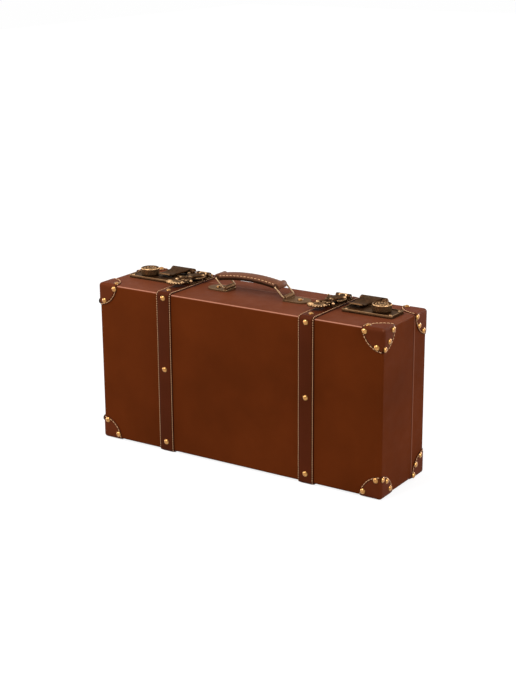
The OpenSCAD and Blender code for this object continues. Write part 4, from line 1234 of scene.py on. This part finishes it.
def make_buckle_hasp(side_name, sx):
    """Folded hasp of a strap buckle: leaf tab, petals, crossed knot, rear lobes and barrel."""
    x0 = sx * STRAP_X
    hasp = Shape()
    make_sheet(hasp, x0)
    make_leaf(hasp, x0 - LEAF_SHIFT)
    make_petals(hasp, x0)
    make_lobes(hasp, x0)
    make_knot(hasp, x0)
    make_barrel(hasp, x0)
    body = f"buckle_hasp_{side_name}"
    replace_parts(show(hasp, f"{body}_cast", body, BRONZE, 40), body)


def make_buckles():
    for side_name, sx in (("left", -1), ("right", 1)):
        make_buckle_hasp(side_name, sx)
        for part, width in (("catch", 0.3), ("hinge", 0.35)):
            name = f"buckle_{part}_{side_name}"
            soften(name, f"{name}_cast", BRONZE, width)


def arch(angle, across, height):
    """A point of the grip: angle along its arch in radians, across it, and height above its middle line."""
    r = ARCH_R + height
    centre_z = BAR_Z + ARCH_RISE - ARCH_R
    return Vector((BAR_X + r * math.sin(angle), GRIP_Y + across, centre_z + r * math.cos(angle)))


# Half of the grip's section: distance from its middle, height, and the masks edge and groove. The edge mask
# darkens the underside, painted shade with dark edge dye; the groove mask darkens the stitch grooves.
GRIP_SECTION = [
    (0.0, -5.0, 1.0, 0.0),
    (7.0, -5.0, 1.0, 0.0),
    (10.0, -4.9, 1.0, 0.0),
    (11.2, -4.1, 1.0, 0.0),
    (11.8, -2.5, 1.0, 0.0),
    (12.0, -0.8, 0.6, 0.0),
    (12.0, 0.7, 0.2, 0.2),
    (11.8, 1.25, 0.0, 0.3),
    (11.3, 1.6, 0.0, 0.6),
    (10.8, 1.65, 0.0, 1.0),
    (10.3, 1.75, 0.0, 1.0),
    (9.8, 2.1, 0.0, 0.5),
    (9.0, 2.75, 0.0, 0.0),
    (7.2, 3.75, 0.0, 0.0),
    (4.0, 4.7, 0.0, 0.0),
    (0.0, 5.0, 0.0, 0.0),
]

# The grip's rolled ends, round the upper bars of the wire loops: radius, length across, and the mask edge,
# which gives their ends the grip's dark edge colour.
ROLL_PROFILE = [
    (0, 0, 0.6),
    (3.6, 0, 0.6),
    (4.9, 0.6, 0.3),
    (5.5, 1.7, 0.0),
    (5.5, 22.9, 0.0),
    (4.9, 24.0, 0.3),
    (3.6, 24.6, 0.6),
    (0, 24.6, 0.6),
]
ROLL_HW = 12.3

# Stitches of the grip: distance from its middle, height of the thread, and along it
GRIP_SEWN = 10.7
GRIP_SEWN_H = 1.9
GRIP_STITCH_PITCH = 6.2
GRIP_STITCH_L = 4.4
GRIP_STITCH_INSET = 4


def make_grip():
    """The leather grip with its rolled ends and stitches."""
    half = math.asin(EYE_X / ARCH_R)
    angles = spread(-half, half, 41)
    section = GRIP_SECTION + [(-x, h, e, g) for x, h, e, g in reversed(GRIP_SECTION[1:-1])]
    rows = [[arch(a, x, h) for x, h, _, _ in section] for a in angles]
    edge_mask = [e for _, _, e, _ in section] * len(rows)
    grooves = [g for _, _, _, g in section] * len(rows)
    grip = Shape()
    grip.skin(rows, loop=True, caps=True, edge=edge_mask, groove=grooves)
    for sx in (-1, 1):
        sleeve = facing((BAR_X + sx * EYE_X, GRIP_Y - ROLL_HW, BAR_Z), (0, 1, 0))
        grip.lathe([(r, z) for r, z, _ in ROLL_PROFILE], sleeve, 28, edge=[e for _, _, e in ROLL_PROFILE])
    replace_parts(show(grip, "handle_grip_leather", "handle", GRIP, 50), "handle_grip")
    sewn = Shape()
    for side in (-1, 1):
        line = []
        for a in angles:
            outward = Vector((math.sin(a), side * 0.6, math.cos(a)))
            line.append((arch(a, side * GRIP_SEWN, GRIP_SEWN_H), outward))
        for a, b, n in walk(line, GRIP_STITCH_PITCH, GRIP_STITCH_L, GRIP_STITCH_INSET):
            sewn.stitch(a, b, n, THREAD_R)
    show(sewn, "handle_grip_stitches", "handle", THREAD)


def make_loop(side_name, sx):
    """Bent wire loop, leaning as it hangs."""
    lean = Matrix.Translation((sx * EYE_X, GRIP_Y, EYE_Z)) @ Matrix.Rotation(-LOOP_LEAN, 4, "Y")
    y = LOOP_HW - LOOP_BEND
    z = LOOP_L - LOOP_BEND
    bends = [(y, z, 0), (-y, z, 90), (-y, LOOP_BEND, 180), (y, LOOP_BEND, 270)]
    path = []
    for bend_y, bend_z, first in bends:
        for t in spread(first, first + 90, 7):
            a = math.radians(t)
            spot = Vector((0, bend_y + LOOP_BEND * math.cos(a), bend_z + LOOP_BEND * math.sin(a)))
            path.append(lean @ spot)
    wire = Shape()
    wire.tube(path, WIRE_R, lean.to_3x3() @ Vector((1, 0, 0)), closed=True, steps=14)
    body = f"handle_loop_{side_name}"
    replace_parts(show(wire, f"{body}_wire", body, WIRE), body)


def make_handle():
    make_grip()
    for side_name, sx in (("left", -1), ("right", 1)):
        name = f"handle_plate_{side_name}"
        soften(name, f"{name}_cast", PLATE_BRONZE, 0.5)
        make_loop(side_name, sx)


def make_back_hinges():
    for name, body in (("hinge_base_leaves", "base"), ("hinge_lid_leaves", "lid")):
        soften(name, f"{body}_hinge_leaves", BRONZE, 0.15)
    for name in ("hinge_base_screws", "hinge_lid_screws"):
        dress(frame["nodes"][name], BRONZE)


make_shells()
for shell_name, y_sign in (("base", -1), ("lid", 1)):
    for strap_name, x_sign in (("left", -1), ("right", 1)):
        make_strap(shell_name, strap_name, x_sign, y_sign)
        make_patch(shell_name, f"top_{strap_name}", (x_sign, y_sign, 1))
        make_patch(shell_name, f"bottom_{strap_name}", (x_sign, y_sign, -1))
make_rivets()
make_screws()
make_locks()
make_buckles()
make_handle()
make_back_hinges()


def lamp(name, place, aim, size, power):
    """A soft area light, places and size in metres."""
    data = bpy.data.lights.new(name, "AREA")
    data.shape = "RECTANGLE"
    data.size, data.size_y = size
    data.energy = power
    obj = bpy.data.objects.new(name, data)
    bpy.context.scene.collection.objects.link(obj)
    obj.location = place
    obj.rotation_euler = (Vector(aim) - Vector(place)).to_track_quat("-Z", "Y").to_euler()


def seen_rays(tree):
    """1 for the rays that show the background: to the camera, and in metal and glass."""
    path = node(tree, "LightPath").outputs
    straight = maths(tree, "MAXIMUM", path["Is Camera Ray"], path["Is Glossy Ray"])
    return maths(tree, "MAXIMUM", straight, path["Is Transmission Ray"])


def make_floor():
    """A floor, in metres, that keeps the shadow and looks white where nothing shades it."""
    material, tree, shader = new_material("pale_floor")
    shader.inputs["Base Color"].default_value = (0.25, 0.25, 0.25, 1)
    shader.inputs["Roughness"].default_value = 1.0
    shader.inputs["Specular IOR Level"].default_value = 0.0
    shader.inputs["Emission Color"].default_value = (1, 1, 1, 1)
    away = node(tree, "VectorMath", {0: own_place(tree)}, operation="LENGTH").outputs["Value"]
    glow = ramp(tree, away, 0.7, 3.0, 0.84, 0.95)
    tree.links.new(maths(tree, "MULTIPLY", seen_rays(tree), glow), shader.inputs["Emission Strength"])
    mesh = bpy.data.meshes.new("floor")
    corners = [(-6, -6, 0), (6, -6, 0), (6, 9, 0), (-6, 9, 0)]
    mesh.from_pydata(corners, [], [(0, 1, 2, 3)])
    mesh.materials.append(material)
    obj = bpy.data.objects.new("floor", mesh)
    bpy.context.scene.collection.objects.link(obj)


def make_world():
    """Soft light from all sides, with a white background."""
    world = bpy.data.worlds.new("studio")
    bpy.context.scene.world = world
    world.use_nodes = True
    tree = world.node_tree
    tree.nodes.clear()
    soft = node(tree, "Background", {"Color": (1, 1, 1, 1), "Strength": 0.35})
    white = node(tree, "Background", {"Color": (0.992, 0.992, 0.992, 1), "Strength": 1.0})
    seen = node(tree, "MixShader", {0: seen_rays(tree), 1: soft.outputs[0], 2: white.outputs[0]})
    out = node(tree, "OutputWorld")
    tree.links.new(seen.outputs[0], out.inputs[0])


def make_camera():
    """The photo's view, fitted to the case's edges. Its place is in millimetres."""
    azimuth, elevation, roll = (math.radians(v) for v in (33.2765, 16.6898, -0.4019))
    flat = math.cos(elevation)
    back = Vector((math.sin(azimuth) * flat, -math.cos(azimuth) * flat, math.sin(elevation)))
    level = Vector((math.cos(azimuth), math.sin(azimuth), 0))
    upright = back.cross(level)
    right = math.cos(roll) * level + math.sin(roll) * upright
    up = math.cos(roll) * upright - math.sin(roll) * level
    data = bpy.data.cameras.new("camera")
    data.lens = 76.51
    data.sensor_width = 36
    data.clip_end = 50
    obj = bpy.data.objects.new("camera", data)
    bpy.context.scene.collection.objects.link(obj)
    turn = Matrix((right, up, back)).transposed().to_4x4()
    place = Vector((1168.43, -1779.10, 816.74))
    obj.matrix_world = Matrix.Translation(place * MM) @ turn
    bpy.context.scene.camera = obj


make_floor()
make_world()
make_camera()
lamp("top_light", (0.1, 0.3, 1.7), (0, 0, 0.15), (1.6, 1.2), 2.5)
lamp("back_light", (0.4, 2.2, 0.5), (0, 0, 0.12), (1.2, 0.8), 22)
lamp("left_light", (-2.3, -0.4, 0.5), (0, 0, 0.12), (1.0, 0.8), 18)
lamp("front_light", (-0.5, -1.3, 1.6), (0, 0, 0.15), (1.0, 1.0), 32)
lamp("right_light", (2.4, -0.2, 1.0), (0, 0, 0.12), (1.2, 1.2), 31)
bpy.context.scene.view_settings.view_transform = "Standard"
